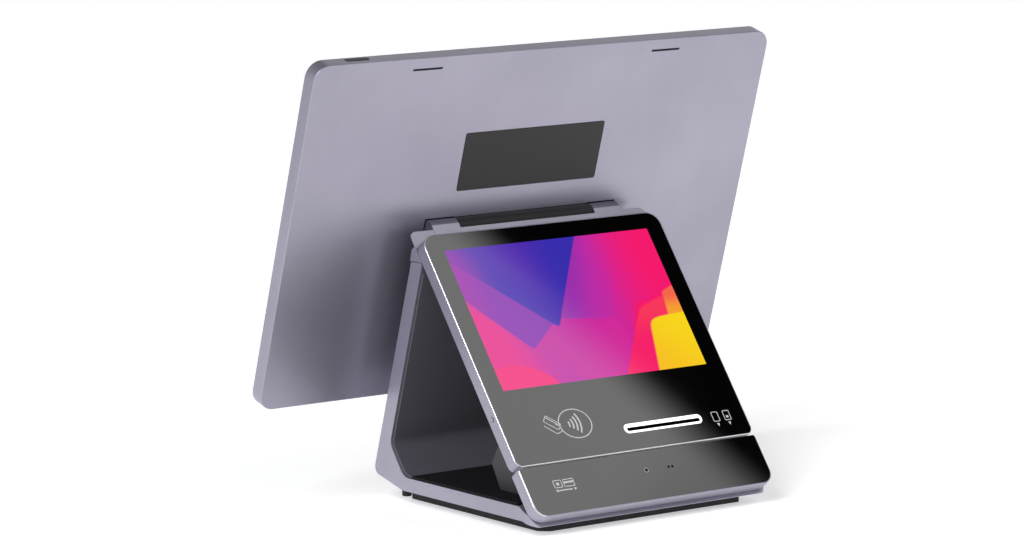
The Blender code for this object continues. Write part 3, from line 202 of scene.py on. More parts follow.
def crossing(line_a, line_b):
    """Point where two lines of the YZ plane meet; a line is (point, direction)."""
    point_a, along_a = line_a
    point_b, along_b = line_b
    reach = (point_b - point_a).cross(along_b) / along_a.cross(along_b)
    return point_a + along_a * reach


def corner(point, radius=0.0):
    return (point.x, point.y, radius)


# ---------------------------------------------------------------- meshes

def weld(mesh):
    """Join the loose caps of a mesh, merge its flat triangles and point its faces out."""
    solid = bmesh.new()
    solid.from_mesh(mesh)
    bmesh.ops.remove_doubles(solid, verts=solid.verts, dist=0.000001)
    bmesh.ops.dissolve_limit(solid, angle_limit=0.001, verts=solid.verts, edges=solid.edges)
    bmesh.ops.recalc_face_normals(solid, faces=solid.faces)
    solid.to_mesh(mesh)
    solid.free()


def plate(plane, low, high, *outlines):
    """Mesh of flat outlines extruded from low to high; outlines inside another are holes."""
    axes, sign = plane
    curve = bpy.data.curves.new("plate", "CURVE")
    curve.dimensions = "2D"
    curve.fill_mode = "BOTH"
    curve.extrude = (high - low) / 2
    for outline in outlines:
        spline = curve.splines.new("POLY")
        spline.points.add(len(outline) - 1)
        for target, point in zip(spline.points, outline):
            target.co = (point[0], point[1], 0, 1)
        spline.use_cyclic_u = True
    holder = new_object("plate", curve)
    depsgraph = bpy.context.evaluated_depsgraph_get()
    mesh = bpy.data.meshes.new_from_object(holder.evaluated_get(depsgraph))
    bpy.data.objects.remove(holder, do_unlink=True)
    mesh.transform(axes @ Matrix.Translation((0, 0, sign * (low + high) / 2)))
    weld(mesh)
    return mesh


def box(low, high):
    low = Vector(low)
    high = Vector(high)
    solid = bmesh.new()
    size = Matrix.Diagonal((*(high - low), 1))
    bmesh.ops.create_cube(solid, size=1, matrix=Matrix.Translation((low + high) / 2) @ size)
    mesh = bpy.data.meshes.new("box")
    solid.to_mesh(mesh)
    solid.free()
    return mesh


def rod(radius, start, end, segments=ROUND_SEGMENTS):
    start = Vector(start)
    along = Vector(end) - start
    turn = along.to_track_quat("Z", "Y").to_matrix().to_4x4()
    middle = Matrix.Translation(start + along / 2)
    solid = bmesh.new()
    bmesh.ops.create_cone(solid, cap_ends=True, segments=segments, radius1=radius,
                          radius2=radius, depth=along.length, matrix=middle @ turn)
    mesh = bpy.data.meshes.new("rod")
    solid.to_mesh(mesh)
    solid.free()
    return mesh


def apply_modifiers(piece):
    depsgraph = bpy.context.evaluated_depsgraph_get()
    mesh = bpy.data.meshes.new_from_object(piece.evaluated_get(depsgraph))
    piece.modifiers.clear()
    piece.data = mesh


def combine(piece, operation, *meshes):
    """Cut meshes from a piece, join them to it or keep what it shares with them."""
    for mesh in meshes:
        tool = new_object("tool", mesh)
        tool.matrix_world = piece.matrix_world
        modifier = piece.modifiers.new("shape", "BOOLEAN")
        modifier.operation = operation
        modifier.solver = "EXACT"
        modifier.object = tool
        bpy.context.view_layer.update()
        apply_modifiers(piece)
        bpy.data.objects.remove(tool, do_unlink=True)


def cut(piece, *meshes):
    combine(piece, "DIFFERENCE", *meshes)


def soften(piece, width, segments=3, angle=40):
    """Round the edges that are sharper than the angle."""
    bevel = piece.modifiers.new("edges", "BEVEL")
    bevel.width = width
    bevel.segments = segments
    bevel.limit_method = "ANGLE"
    bevel.angle_limit = math.radians(angle)
    apply_modifiers(piece)


def settle_normals(piece):
    """Smooth rounds and flat flats: normals weighted by the size of the faces."""
    piece.data.shade_smooth()
    piece.data.set_sharp_from_angle(angle=math.radians(35))
    weighted = piece.modifiers.new("normals", "WEIGHTED_NORMAL")
    weighted.keep_sharp = True
    weighted.weight = 80
    apply_modifiers(piece)


def add_piece(name, mesh, place, body, replaced=()):
    """New piece in a frame, riding on a body, with the CAD nodes that it stands for."""
    mesh.name = name
    piece = new_object(name, mesh)
    piece.matrix_world = place
    bpy.context.view_layer.update()
    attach(piece, body)
    if replaced:
        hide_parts(*replaced)
    return piece


def assign_faces(piece, material, chosen):
    """Second finish for the faces that a test picks by centre and normal."""
    piece.data.materials.append(material)
    index = len(piece.data.materials) - 1
    for face in piece.data.polygons:
        if chosen(face.center, face.normal):
            face.material_index = index


def finish_piece(piece, material):
    settle_normals(piece)
    piece.data.materials.clear()
    piece.data.materials.append(material)
    return piece


# ---------------------------------------------------------------- materials

class Nodes:
    """Short calls to add and link the nodes of a tree."""

    def __init__(self, tree):
        self.tree = tree

    def add(self, kind, **settings):
        node = self.tree.nodes.new(kind)
        for key, value in settings.items():
            setattr(node, key, value)
        return node

    def put(self, socket, value):
        """Link a socket to an output, or set it to a constant."""
        if isinstance(value, bpy.types.NodeSocket):
            self.tree.links.new(value, socket)
        else:
            socket.default_value = value

    def math(self, operation, *values):
        node = self.add("ShaderNodeMath", operation=operation)
        for socket, value in zip(node.inputs, values):
            self.put(socket, value)
        return node.outputs["Value"]

    def axes(self, vector):
        """The x, y and z of a vector."""
        node = self.add("ShaderNodeSeparateXYZ")
        self.put(node.inputs["Vector"], vector)
        return node.outputs

    def span(self, value, low, high, out_low=0.0, out_high=1.0, smooth=False):
        """Map a value from one range to another, clamped."""
        node = self.add("ShaderNodeMapRange", clamp=True)
        if smooth:
            node.interpolation_type = "SMOOTHSTEP"
        for key, number in (("From Min", low), ("From Max", high), ("To Min", out_low),
                            ("To Max", out_high)):
            node.inputs[key].default_value = number
        self.put(node.inputs["Value"], value)
        return node.outputs["Result"]


class Shader(Nodes):
    """A material and its nodes."""

    def __init__(self, name):
        self.material = bpy.data.materials.new(name)
        self.material.use_nodes = True
        super().__init__(self.material.node_tree)
        self.surface = self.tree.nodes["Principled BSDF"]
        self.coordinates = self.add("ShaderNodeTexCoord").outputs["Object"]

    def set(self, **values):
        """Set inputs of the surface shader; an underscore stands for a space."""
        for key, value in values.items():
            self.put(self.surface.inputs[key.replace("_", " ")], value)

    def noise(self, scale, detail=2.0, roughness=0.5, stretch=(1, 1, 1)):
        """Noise value from 0 to 1 at a scale in cycles per metre."""
        mapping = self.add("ShaderNodeMapping")
        self.put(mapping.inputs["Vector"], self.coordinates)
        mapping.inputs["Scale"].default_value = stretch
        node = self.add("ShaderNodeTexNoise")
        self.put(node.inputs["Vector"], mapping.outputs["Vector"])
        node.inputs["Scale"].default_value = scale
        node.inputs["Detail"].default_value = detail
        node.inputs["Roughness"].default_value = roughness
        return node.outputs["Fac"]

    def mix(self, factor, first, second):
        """Colour mix; colours are sockets or (r, g, b)."""
        node = self.add("ShaderNodeMix", data_type="RGBA")
        self.put(node.inputs["Factor"], factor)
        for key, colour in ((6, first), (7, second)):
            solid = not isinstance(colour, bpy.types.NodeSocket)
            self.put(node.inputs[key], (*colour, 1.0) if solid else colour)
        return node.outputs[2]

    def bump(self, height, strength, distance):
        node = self.add("ShaderNodeBump")
        self.put(node.inputs["Height"], height)
        node.inputs["Strength"].default_value = strength
        node.inputs["Distance"].default_value = distance
        self.set(Normal=node.outputs["Normal"])


def anodised_metal(name="anodised_metal", tone=(0.375, 0.360, 0.440), roughness=0.38):
    """Bead-blasted, anodised aluminium: fine sparkle, faint clouds, satin gloss."""
    shader = Shader(name)
    clouds = shader.noise(14, 3)
    grain = shader.noise(2600, 2)
    blast = shader.noise(5200, 1)
    darker = tuple(channel * 0.93 for channel in tone)
    lighter = tuple(channel * 1.06 for channel in tone)
    tint = shader.mix(shader.span(clouds, 0.3, 0.7), darker, lighter)
    sparkle = shader.mix(shader.span(blast, 0.52, 0.75, 0.0, 0.35), tint,
                         tuple(min(1.0, channel * 1.5) for channel in tone))
    shader.set(Base_Color=sparkle, Metallic=0.82)
    shader.set(Roughness=shader.span(grain, 0.25, 0.75, roughness - 0.04, roughness + 0.06))
    shader.bump(grain, 0.10, 0.00004)
    return shader.material


def black_glass(name, ior):
    """Black-backed cover glass with the faintest wipe marks in its gloss."""
    shader = Shader(name)
    wipes = shader.noise(38, 3, stretch=(1, 1, 0.25))
    smudge = shader.noise(9, 2)
    haze = shader.math("MULTIPLY", wipes, smudge)
    shader.set(Base_Color=shader.mix(smudge, (0.0006, 0.0006, 0.0007), (0.0012, 0.0012, 0.0014)))
    shader.set(Roughness=shader.span(haze, 0.1, 0.5, 0.02, 0.045))
    shader.set(IOR=ior)
    return shader.material


def moulded_plastic(name, colour, roughness=0.5, grain_scale=1900, depth=0.00006, gloss=0.5):
    """Spark-eroded moulded plastic: fine pits, a little tone drift."""
    shader = Shader(name)
    shader.set(Specular_IOR_Level=gloss)
    pits = shader.noise(grain_scale, 3, 0.6)
    drift = shader.noise(22, 2)
    darker = tuple(channel * 0.85 for channel in colour)
    lighter = tuple(channel * 1.18 for channel in colour)
    shader.set(Base_Color=shader.mix(drift, darker, lighter))
    shader.set(Roughness=shader.span(pits, 0.3, 0.7, roughness - 0.06, roughness + 0.08))
    shader.bump(pits, 0.22, depth)
    return shader.material


def foot_rubber():
    shader = Shader("foot_rubber")
    stipple = shader.noise(1300, 4, 0.7)
    dust = shader.noise(60, 3)
    shader.set(Base_Color=shader.mix(shader.span(dust, 0.45, 0.8, 0.0, 0.5),
                                     (0.010, 0.010, 0.011), (0.024, 0.023, 0.022)))
    shader.set(Roughness=shader.span(stipple, 0.3, 0.7, 0.62, 0.85))
    shader.bump(stipple, 0.35, 0.0001)
    return shader.material


def brushed_steel(name="brushed_steel", tone=(0.46, 0.46, 0.47), roughness=0.30):
    shader = Shader(name)
    strokes = shader.noise(500, 3, stretch=(0.05, 1, 1))
    shader.set(Base_Color=shader.mix(strokes, tuple(c * 0.85 for c in tone), tone))
    shader.set(Metallic=1.0)
    shader.set(Roughness=shader.span(strokes, 0.3, 0.7, roughness, roughness + 0.12))
    shader.bump(strokes, 0.12, 0.00003)
    return shader.material


def circuit_board():
    """Green solder mask with copper runs showing through it."""
    shader = Shader("circuit_board")
    runs = shader.add("ShaderNodeTexBrick")
    runs.inputs["Scale"].default_value = 220
    runs.inputs["Mortar Size"].default_value = 0.06
    shader.put(runs.inputs["Vector"], shader.coordinates)
    shader.set(Base_Color=shader.mix(runs.outputs["Fac"], (0.006, 0.07, 0.028),
                                     (0.02, 0.16, 0.06)))
    shader.set(Roughness=shader.span(shader.noise(900), 0.3, 0.7, 0.35, 0.5))
    shader.bump(runs.outputs["Fac"], 0.4, 0.00008)
    return shader.material


def light_guide():
    """Lit white guide, with a faint mottling in its white."""
    shader = Shader("light_guide")
    glow = shader.noise(160, 1)
    shader.set(Base_Color=shader.mix(glow, (0.80, 0.80, 0.80), (0.9, 0.9, 0.9)))
    shader.set(Roughness=shader.span(glow, 0.3, 0.7, 0.25, 0.35))
    shader.set(Emission_Color=(1.0, 1.0, 1.0, 1.0), Emission_Strength=1.1)
    return shader.material


def printed_white():
    """White screen print on glass, with the slight mottling of ink."""
    shader = Shader("printed_white")
    ink = shader.noise(2200, 3)
    shader.set(Base_Color=shader.mix(ink, (0.50, 0.50, 0.50), (0.60, 0.60, 0.60)))
    shader.set(Roughness=shader.span(ink, 0.3, 0.7, 0.3, 0.45))
    return shader.material


def lit_colour(name, colour, strength=1.0):
    """Lit area of a screen under glossy glass, with a faint top-to-bottom falloff."""
    shader = Shader(name)
    fall = shader.span(shader.axes(shader.coordinates)["Z"], -0.1, 0.1)
    low = tuple(channel * 0.88 for channel in colour)
    shader.set(Base_Color=(0.004, 0.004, 0.005, 1.0), Roughness=0.04, IOR=1.52)
    shader.set(Emission_Color=shader.mix(fall, low, colour), Emission_Strength=strength)
    return shader.material


def wallpaper(low, high):
    """Abstract colour fields, laid out after the photo, on a screen of corners (x, z)."""
    shader = Shader("customer_wallpaper")
    place = shader.axes(shader.coordinates)
    u = shader.span(place["X"], low[0], high[0])
    v = shader.span(place["Z"], low[1], high[1])

    def line(a, b, c):
        """a*u + b*v + c"""
        return shader.math("MULTIPLY_ADD", v, b, shader.math("MULTIPLY_ADD", u, a, c))

    def hump(centre_u, centre_v, radius_u, radius_v):
        """1 in the middle of an ellipse, 0 at its rim, negative outside."""
        du = shader.math("MULTIPLY_ADD", u, 1 / radius_u, -centre_u / radius_u)
        dv = shader.math("MULTIPLY_ADD", v, 1 / radius_v, -centre_v / radius_v)
        square = shader.math("ADD", shader.math("MULTIPLY", du, du),
                             shader.math("MULTIPLY", dv, dv))
        return shader.math("SUBTRACT", 1.0, square)

    def both(first, second, softness):
        return shader.math("SMOOTH_MIN", first, second, softness)

    def edge(value, width=0.006):
        return shader.span(value, -width, width, smooth=True)

    def meet(first, second, softness):
        """Positive where both lines, each (a, b, c), are."""
        return both(line(*first), line(*second), softness)

    def shade(first, second, *along):
        """Colour that turns from the first to the second along a line."""
        return shader.mix(shader.span(line(*along), 0.0, 1.0, smooth=True), first, second)

    veil = edge(both(meet((1.0, -0.41, -0.226), (0.20, 1.0, -0.525), 0.03),
                     line(-1.0, 0.30, 0.53), 0.05))
    slate = shade((0.225, 0.013, 0.375), (0.045, 0.004, 0.398), 5.5, 0.0, -0.1)
    dusk = shade((0.080, 0.018, 0.412), (0.034, 0.022, 0.407), 4.0, 0.0, -1.1)
    depth = shader.span(line(1.3, 1.0, -0.95), 0.0, 0.25, smooth=True)
    fields = (
        (edge(meet((-1.0, -0.10, 0.71), (0.10, -1.0, 0.385), 0.05), 0.012),
         shade((0.53, 0.005, 0.335), (0.64, 0.018, 0.31), 3.0, 0.0, -1.1)),
        (edge(line(-1.50, -1.0, 0.62), 0.06),
         shade((0.745, 0.004, 0.25), (0.505, 0.006, 0.355), 4.6, 0.6, -0.55)),
        (edge(hump(0.07, -0.10, 0.22, 0.26), 0.05), (0.835, 0.002, 0.19)),
        (edge(both(meet((1.75, 1.0, -0.637), (-1.0, 0.86, 0.006), 0.07),
                   line(-1.0, 0.0, 0.40), 0.01)),
         shade((0.32, 0.008, 0.385), (0.24, 0.011, 0.408), 8.0, 0.0, -0.1)),
        (edge(meet((1.42, 1.0, -0.921), (-1.0, 0.41, 0.226), 0.05)),
         shader.mix(depth, slate, dusk)),
        (shader.math("MULTIPLY", veil, shader.span(u, 0.60, 0.76, 1.0, 0.0)),
         shade((0.31, 0.024, 0.41), (0.49, 0.020, 0.37), 6.0, -1.2, -2.2)),
        (edge(meet((1.0, -0.31, -0.636), (0.0, -1.0, 0.50), 0.05), 0.008),
         (0.90, 0.006, 0.15)),
        (edge(meet((2.3, -1.0, -1.39), (0.5, -1.0, 0.05), 0.05), 0.008),
         shade((0.91, 0.010, 0.135), (0.93, 0.034, 0.10), 0.0, 4.0, -0.8)),
        (edge(meet((1.0, -0.10, -0.885), (0.6, -1.0, -0.02), 0.02)),
         shade((0.91, 0.34, 0.028), (0.905, 0.13, 0.062), 0.0, 8.0, -3.2)),
        (edge(meet((1.0, -0.16, -0.765), (0.10, -1.0, 0.285), 0.09)),
         shade((0.93, 0.52, 0.012), (0.93, 0.66, 0.006), 2.4, 1.6, -1.9)),
    )
    colour = shade((0.50, 0.018, 0.36), (0.90, 0.006, 0.145), 2.6, 0.0, -1.45)
    for mask, field in fields:
        colour = shader.mix(mask, colour, field)
    shader.set(Base_Color=(0.004, 0.004, 0.005, 1.0), Roughness=0.05, IOR=1.40)
    shader.set(Emission_Color=colour, Emission_Strength=1.0)
    return shader.material


METAL = anodised_metal()
DARK_METAL = anodised_metal("anodised_edge", (0.36, 0.345, 0.42), 0.30)
# Painted shade: a darker copy of the anodised metal for the knuckles, standing in for the shade on them
KNUCKLE_SHADE_METAL = anodised_metal("anodised_knuckle_painted_shade", (0.17, 0.163, 0.20), 0.40)
# Painted highlight: a lighter, glossier copy of the anodised metal for the slab's front edge bevels
EDGE_HIGHLIGHT_METAL = anodised_metal("painted_edge_highlight", (0.66, 0.65, 0.70), 0.24)
# Painted light: a very light copy of the anodised metal for the walls of the swipe groove, standing in for the
# light that reaches into it
GROOVE_LIGHT_PAINT_METAL = anodised_metal("groove_wall_painted_light", (0.88, 0.87, 0.90), 0.60)
GLASS = black_glass("slope_glass", 1.62)
DISPLAY_GLASS = black_glass("display_glass", 1.50)
CHARCOAL = moulded_plastic("charcoal_plastic", (0.016, 0.016, 0.019), 0.42)
# Painted shade: dark plastic liner inside the leg and heel, and a darker sheet on the base, standing in for the
# shade inside the stand's A
SHADE_LINER = moulded_plastic("shade_liner_plastic", (0.080, 0.078, 0.096), 0.46)
BASE_SHADE_MAT = moulded_plastic("base_shade_mat_plastic", (0.008, 0.008, 0.010), 0.62, gloss=0.12)
BLOCK = moulded_plastic("block_plastic", (0.030, 0.030, 0.033), 0.46)
BARREL = moulded_plastic("barrel_plastic", (0.010, 0.010, 0.011), 0.42, gloss=0.3)
LABEL = moulded_plastic("label_plastic", (0.012, 0.012, 0.0125), 0.5, 2400, 0.00003)
# Painted shade: near-black coat for the hinge pockets and the card slot's sleeve, standing in for their shade
POCKET = moulded_plastic("pocket_shadow_coat", (0.004, 0.004, 0.005), 0.7, gloss=0.1)
RUBBER = foot_rubber()
STEEL = brushed_steel()
COPPER = brushed_steel("copper_foil", (0.62, 0.30, 0.17), 0.25)
BRONZE = brushed_steel("sintered_bronze", (0.42, 0.28, 0.13), 0.38)
BOARD = circuit_board()
GUIDE = light_guide()
PRINT = printed_white()


# ---------------------------------------------------------------- lines of the side profile

UP_SLOPE = Vector((SLOPE.col[2].y, SLOPE.col[2].z))
INTO_SLOPE = Vector((SLOPE.col[1].y, SLOPE.col[1].z))
UP_DISPLAY = Vector((DISPLAY.col[2].y, DISPLAY.col[2].z))
INTO_DISPLAY = Vector((DISPLAY.col[1].y, DISPLAY.col[1].z))
SLOPE_START = Vector((SLOPE.translation.y, SLOPE.translation.z))
HINGE_POINT = Vector((HINGE.y, HINGE.z))
ACROSS = Vector((1, 0))

UNIT_LOW, UNIT_HIGH = local_box("unit_frame", SLOPE)
BAR_LOW, BAR_HIGH = local_box("bar_frame", SLOPE)
SLAB = UNIT_HIGH.y
FRAME_LOW, FRAME_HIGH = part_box("stand_frame")
HALF = FRAME_HIGH.x
HEAD_LOW, HEAD_HIGH = local_box("stand_head", SLOPE)

BASE_UNDERSIDE = 0.0086
BASE_TOP = 0.0167
BASE_FRONT_CORNER = 0.0090
BASE_NOSE_Y = -0.0613
BASE_NOSE_DROP = 0.0042
DROOP_Y = -0.0644
DROOP_TIP_Z = 0.0054
LEG_SETBACK = 0.0132
LEG_THICKNESS = 0.0104
HEEL_Y = 0.0515
HEEL_FACET_ANGLE = 54.0
HEEL_TOP_RADIUS = 0.008
HEEL_BOTTOM_RADIUS = 0.010
REAR_SLOPE_Y = 0.0528
REAR_SLOPE_ANGLE = 14.3
REAR_CORNER = 0.0045
HEAD_SETBACK = 0.0112
HEAD_PLATE = 0.0037
HEAD_CORNER = 0.005
HEAD_CHAMFER = 0.0032
KNUCKLE_RADIUS = 0.00625
KNUCKLE_TAB_LENGTH = 0.0076
KNUCKLE_TAB_THICKNESS = 0.0030
BARREL_GAP = 0.0005
BARREL_WALL = 0.00125
BARREL_MOUTH = 0.0039


def heading(degrees_from_vertical):
    angle = math.radians(degrees_from_vertical)
    return Vector((math.sin(angle), math.cos(angle)))


def slope_line(depth):
    return (SLOPE_START + INTO_SLOPE * depth, UP_SLOPE)


def slope_point(s, depth):
    return SLOPE_START + UP_SLOPE * s + INTO_SLOPE * depth


def leg_line(setback):
    return (HINGE_POINT - INTO_DISPLAY * setback, UP_DISPLAY)


def level(z):
    return (Vector((0, z)), ACROSS)


def inner_corners(offset):
    """The stand's inner outline, a distance inside the A: leg top, heel top, heel bottom."""
    leg = leg_line(LEG_SETBACK + LEG_THICKNESS + offset)
    facet_way = heading(90 - HEEL_FACET_ANGLE)
    facet_out = Vector((-facet_way.y, facet_way.x))
    facet = (Vector((HEEL_Y, BASE_TOP)) + facet_out * offset, facet_way)
    floor = level(BASE_TOP + offset)
    return [
        corner(crossing(leg, slope_line(SLAB + GAP + offset))),
        corner(crossing(leg, facet), HEEL_TOP_RADIUS - offset),
        corner(crossing(facet, floor), HEEL_BOTTOM_RADIUS - offset),
    ]


# ---------------------------------------------------------------- stand

def make_stand_frame():
    """Base with a drooping nose, heel and leg in one bent plate, with rounded edges."""
    outer = leg_line(LEG_SETBACK)
    slab_back = slope_line(SLAB + GAP)
    top = level(FRAME_HIGH.z)
    rear_slope = (Vector((REAR_SLOPE_Y, BASE_UNDERSIDE)), heading(90 - REAR_SLOPE_ANGLE))
    nose_tip = crossing(slab_back, level(DROOP_TIP_Z))
    crotch, heel_top, heel_bottom = inner_corners(0)
    profile = filleted([
        corner(nose_tip, 0.0003),
        (DROOP_Y, BASE_UNDERSIDE, 0),
        (REAR_SLOPE_Y, BASE_UNDERSIDE, 0.012),
        corner(crossing(outer, rear_slope), REAR_CORNER),
        corner(crossing(outer, top)),
        corner(crossing(slab_back, top)),
        crotch,
        heel_top,
        heel_bottom,
        (BASE_NOSE_Y, BASE_TOP, 0.0015),
        corner(crossing(slab_back, level(BASE_TOP - BASE_NOSE_DROP))),
    ])
    piece = add_piece("stand_frame_shell", plate(SIDE, -HALF, HALF, profile), STAND, "stand",
                      ["stand_frame"])
    plan = filleted([(-HALF, nose_tip.x, BASE_FRONT_CORNER),
                     (HALF, nose_tip.x, BASE_FRONT_CORNER),
                     (HALF, 2 * HINGE.y, 0), (-HALF, 2 * HINGE.y, 0)])
    combine(piece, "INTERSECT", plate(TOP, -HINGE.z, HINGE.z, plan))
    soften(piece, 0.0007, 4, 70)
    finish_piece(piece, METAL)


def make_stand_head():
    """Cap of the A with its neck plate and two knuckles."""
    front = SLAB + GAP
    back = front + HEAD_PLATE
    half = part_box("stand_head")[1].x
    seam = level(FRAME_HIGH.z + GAP)
    rear = leg_line(HEAD_SETBACK)
    top_s = plate_top()
    profile = filleted([
        corner(crossing(slope_line(front), seam)),
        corner(crossing(rear, seam), 0.0008),
        corner(crossing(rear, slope_line(back)), 0.003),
        corner(slope_point(top_s, back)),
        corner(slope_point(top_s, front), 0.0006),
    ])
    head = add_piece("stand_head_shell", plate(SIDE, -half, half, profile), STAND, "stand",
                     ["stand_head"])
    limit = plate(FACE, -0.02, 0.08, filleted([(-half, 0.1, 0), (half, 0.1, 0),
                                               (half, top_s, HEAD_CORNER),
                                               (-half, top_s, HEAD_CORNER)]))
    limit.transform(SLOPE)
    combine(head, "INTERSECT", limit)
    bend_s = (crossing(rear, slope_line(back)) - SLOPE_START).dot(UP_SLOPE)
    wide = 2 * HEAD_CHAMFER
    for side in (-1, 1):
        outline = [(side * (half - wide), back + HEAD_CHAMFER),
                   (side * (half + HEAD_CHAMFER), back + HEAD_CHAMFER),
                   (side * (half + HEAD_CHAMFER), back - wide)]
        chamfer = plate(TOP, bend_s, top_s + HEAD_CHAMFER, outline)
        chamfer.transform(SLOPE)
        cut(head, chamfer)
    inner, outer = knuckle_span()
    scoop = rod(KNUCKLE_RADIUS + BARREL_GAP, (-inner, HINGE.y, HINGE.z),
                (inner, HINGE.y, HINGE.z), 96)
    cut(head, scoop)
    soften(head, 0.0004, 3, 50)
    for side in (-1, 1):
        combine(head, "UNION", curled_knuckle(side * inner, side * outer))
    bore_radius = local_box("friction_sleeve_left", STAND)[1].z - HINGE.z + GAP
    for side in (-1, 1):
        mouth = (side * (inner - 0.001), HINGE.y, HINGE.z)
        floor = (side * (outer - 0.0017), HINGE.y, HINGE.z)
        cut(head, rod(bore_radius, mouth, floor))
    finish_piece(head, METAL)
    # Painted shade: the knuckles' faces get the darker metal
    assign_faces(head, KNUCKLE_SHADE_METAL, lambda centre, normal: inner - GAP < abs(centre.x)
                 < outer + GAP and (Vector((centre.y, centre.z)) - HINGE_POINT).length
                 < KNUCKLE_RADIUS + GAP)


def curled_knuckle(inner, outer):
    """Tab that rises from the neck plate and curls round the hinge's axis, edges rounded."""
    offset = HINGE_POINT - SLOPE_START
    hinge_s, hinge_depth = offset.dot(UP_SLOPE), offset.dot(INTO_SLOPE)
    front = hinge_depth - KNUCKLE_RADIUS
    low_x, high_x = sorted((inner, outer))
    knuckle = new_object("knuckle", rod(KNUCKLE_RADIUS, (inner, HINGE.y, HINGE.z),
                                        (outer, HINGE.y, HINGE.z), 96))
    tab = box((low_x, front, hinge_s - KNUCKLE_TAB_LENGTH),
              (high_x, front + KNUCKLE_TAB_THICKNESS, hinge_s))
    tab.transform(SLOPE)
    combine(knuckle, "UNION", tab)
    soften(knuckle, 0.0004, 3, 50)
    mesh = knuckle.data
    bpy.data.objects.remove(knuckle, do_unlink=True)
    return mesh


def plate_top():
    """Height up the slope of the head's neck plate, below the knuckles."""
    points = [SLOPE.inverted() @ vertex.co for vertex in
              frame["nodes"]["stand_head"].data.vertices
              if abs(vertex.co.x) > knuckle_span()[1] + 0.002]
    return max(point.z for point in points)


def knuckle_span():
    """Inner and outer x of the knuckles, from the sleeves inside them."""
    low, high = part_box("friction_sleeve_right")
    return low.x - GAP, high.x + GAP + 0.0017


SHADE_MAT_JOINT = 0.0062


def make_inner_shade_cover():
    """Liner of the leg and heel, and a darker sheet on the flat base: painted shade, dark sheets inside the
    stand's A, darkest on the base under the slab.
    """
    low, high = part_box("inner_cover")
    thickness = high_of_floor() - BASE_TOP - GAP
    near = inner_corners(GAP)
    far = inner_corners(GAP + thickness)
    leg_near = leg_line(LEG_SETBACK + LEG_THICKNESS + GAP)
    leg_far = leg_line(LEG_SETBACK + LEG_THICKNESS + GAP + thickness)
    top = level(high.z)
    joint_y = near[2][0] - SHADE_MAT_JOINT
    floor, ceiling = BASE_TOP + GAP, BASE_TOP + GAP + thickness
    profile = filleted([
        corner(crossing(leg_near, top)),
        corner(crossing(leg_far, top)),
        far[1],
        far[2],
        (joint_y, ceiling, 0),
        (joint_y, floor, 0),
        near[2],
        near[1],
    ])
    piece = add_piece("inner_shade_liner", plate(SIDE, low.x, high.x, profile), STAND, "stand",
                      ["inner_cover"])
    soften(piece, 0.0002, 2, 60)
    finish_piece(piece, SHADE_LINER)
    block_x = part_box("reader_block")[1].x + GAP
    arm_y = BASE_NOSE_Y + SHADE_MAT_JOINT / 2
    rear = joint_y - GAP / 2
    outline = [(low.x, arm_y), (-block_x, arm_y), (-block_x, low.y), (block_x, low.y),
               (block_x, arm_y), (high.x, arm_y), (high.x, rear), (low.x, rear)]
    # Painted shade: the darker sheet on the base, under the slab
    shade_mat = add_piece("base_shade_mat", plate(TOP, floor, ceiling, outline), STAND, "stand",
                    ["inner_cover"])
    soften(shade_mat, 0.0002, 2, 60)
    finish_piece(shade_mat, BASE_SHADE_MAT)


def high_of_floor():
    """Top of the liner's flat stretch, on the base."""
    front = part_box("inner_cover")[0].y
    return max(vertex.co.z for vertex in frame["nodes"]["inner_cover"].data.vertices
               if vertex.co.y < front + 0.0005)


BLOCK_REAR_Y = -0.0199


def make_reader_block():
    """Housing behind the slope's foot, with softly rounded edges."""
    low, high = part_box("reader_block")
    face = slope_line(SLAB + GAP)
    foot = BASE_TOP + GAP
    knee = max((vertex.co.copy() for vertex in
                frame["nodes"]["reader_block"].data.vertices), key=lambda point: point.y)
    profile = filleted([
        corner(crossing(face, level(foot))),
        (BLOCK_REAR_Y, foot, 0.0008),
        (knee.y + 0.0006, knee.z, 0.003),
        corner(crossing(face, level(high.z)), 0.0010),
    ])
    piece = add_piece("reader_block_shell", plate(SIDE, low.x, high.x, profile), STAND,
                      "stand", ["reader_block"])
    reader_low, reader_high = local_box("card_reader", SLOPE)
    pocket = box(reader_low - Vector((GAP, 0.02, GAP)), reader_high + Vector((GAP, GAP, GAP)))
    pocket.transform(SLOPE)
    cut(piece, pocket)
    soften(piece, 0.0009, 3, 50)
    finish_piece(piece, BLOCK)


PAD_CHAMFER = 0.0057
PAD_RIBS = 9
RIB_MARGIN = 0.016
RIB_DEPTH = 0.0006


def make_pad():
    """Rubber pad with one chamfered corner and grip grooves under it."""
    low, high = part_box("base_pad")
    outline = [(low.x + PAD_CHAMFER, low.y), (high.x, low.y), (high.x, high.y),
               (low.x, high.y), (low.x, low.y + PAD_CHAMFER)]
    pad = add_piece("grip_pad", plate(TOP, low.z, high.z, outline), STAND, "stand",
                    ["base_pad"])
    soften(pad, 0.0007, 3, 30)
    ballast_low, ballast_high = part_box("ballast_plate")
    room = Vector((GAP, GAP, GAP))
    cut(pad, box(ballast_low - room, ballast_high + room * 2))
    for node in sorted(frame["nodes"]):
        if node.startswith("base_screw"):
            screw_low, screw_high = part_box(node)
            centre = (screw_low + screw_high) / 2
            radius = (screw_high.x - screw_low.x) / 2 + GAP
            cut(pad, rod(radius, (centre.x, centre.y, low.z - 0.001),
                         (centre.x, centre.y, high.z + 0.001), 48))
    for index in range(PAD_RIBS):
        y = low.y + RIB_MARGIN + (high.y - low.y - 2 * RIB_MARGIN) * index / (PAD_RIBS - 1)
        cut(pad, plate(TOP, low.z - 0.001, low.z + RIB_DEPTH,
                       centred(0, y, (high.x - low.x) * 0.62, 0.0022, 0.0010)))
    finish_piece(pad, RUBBER)


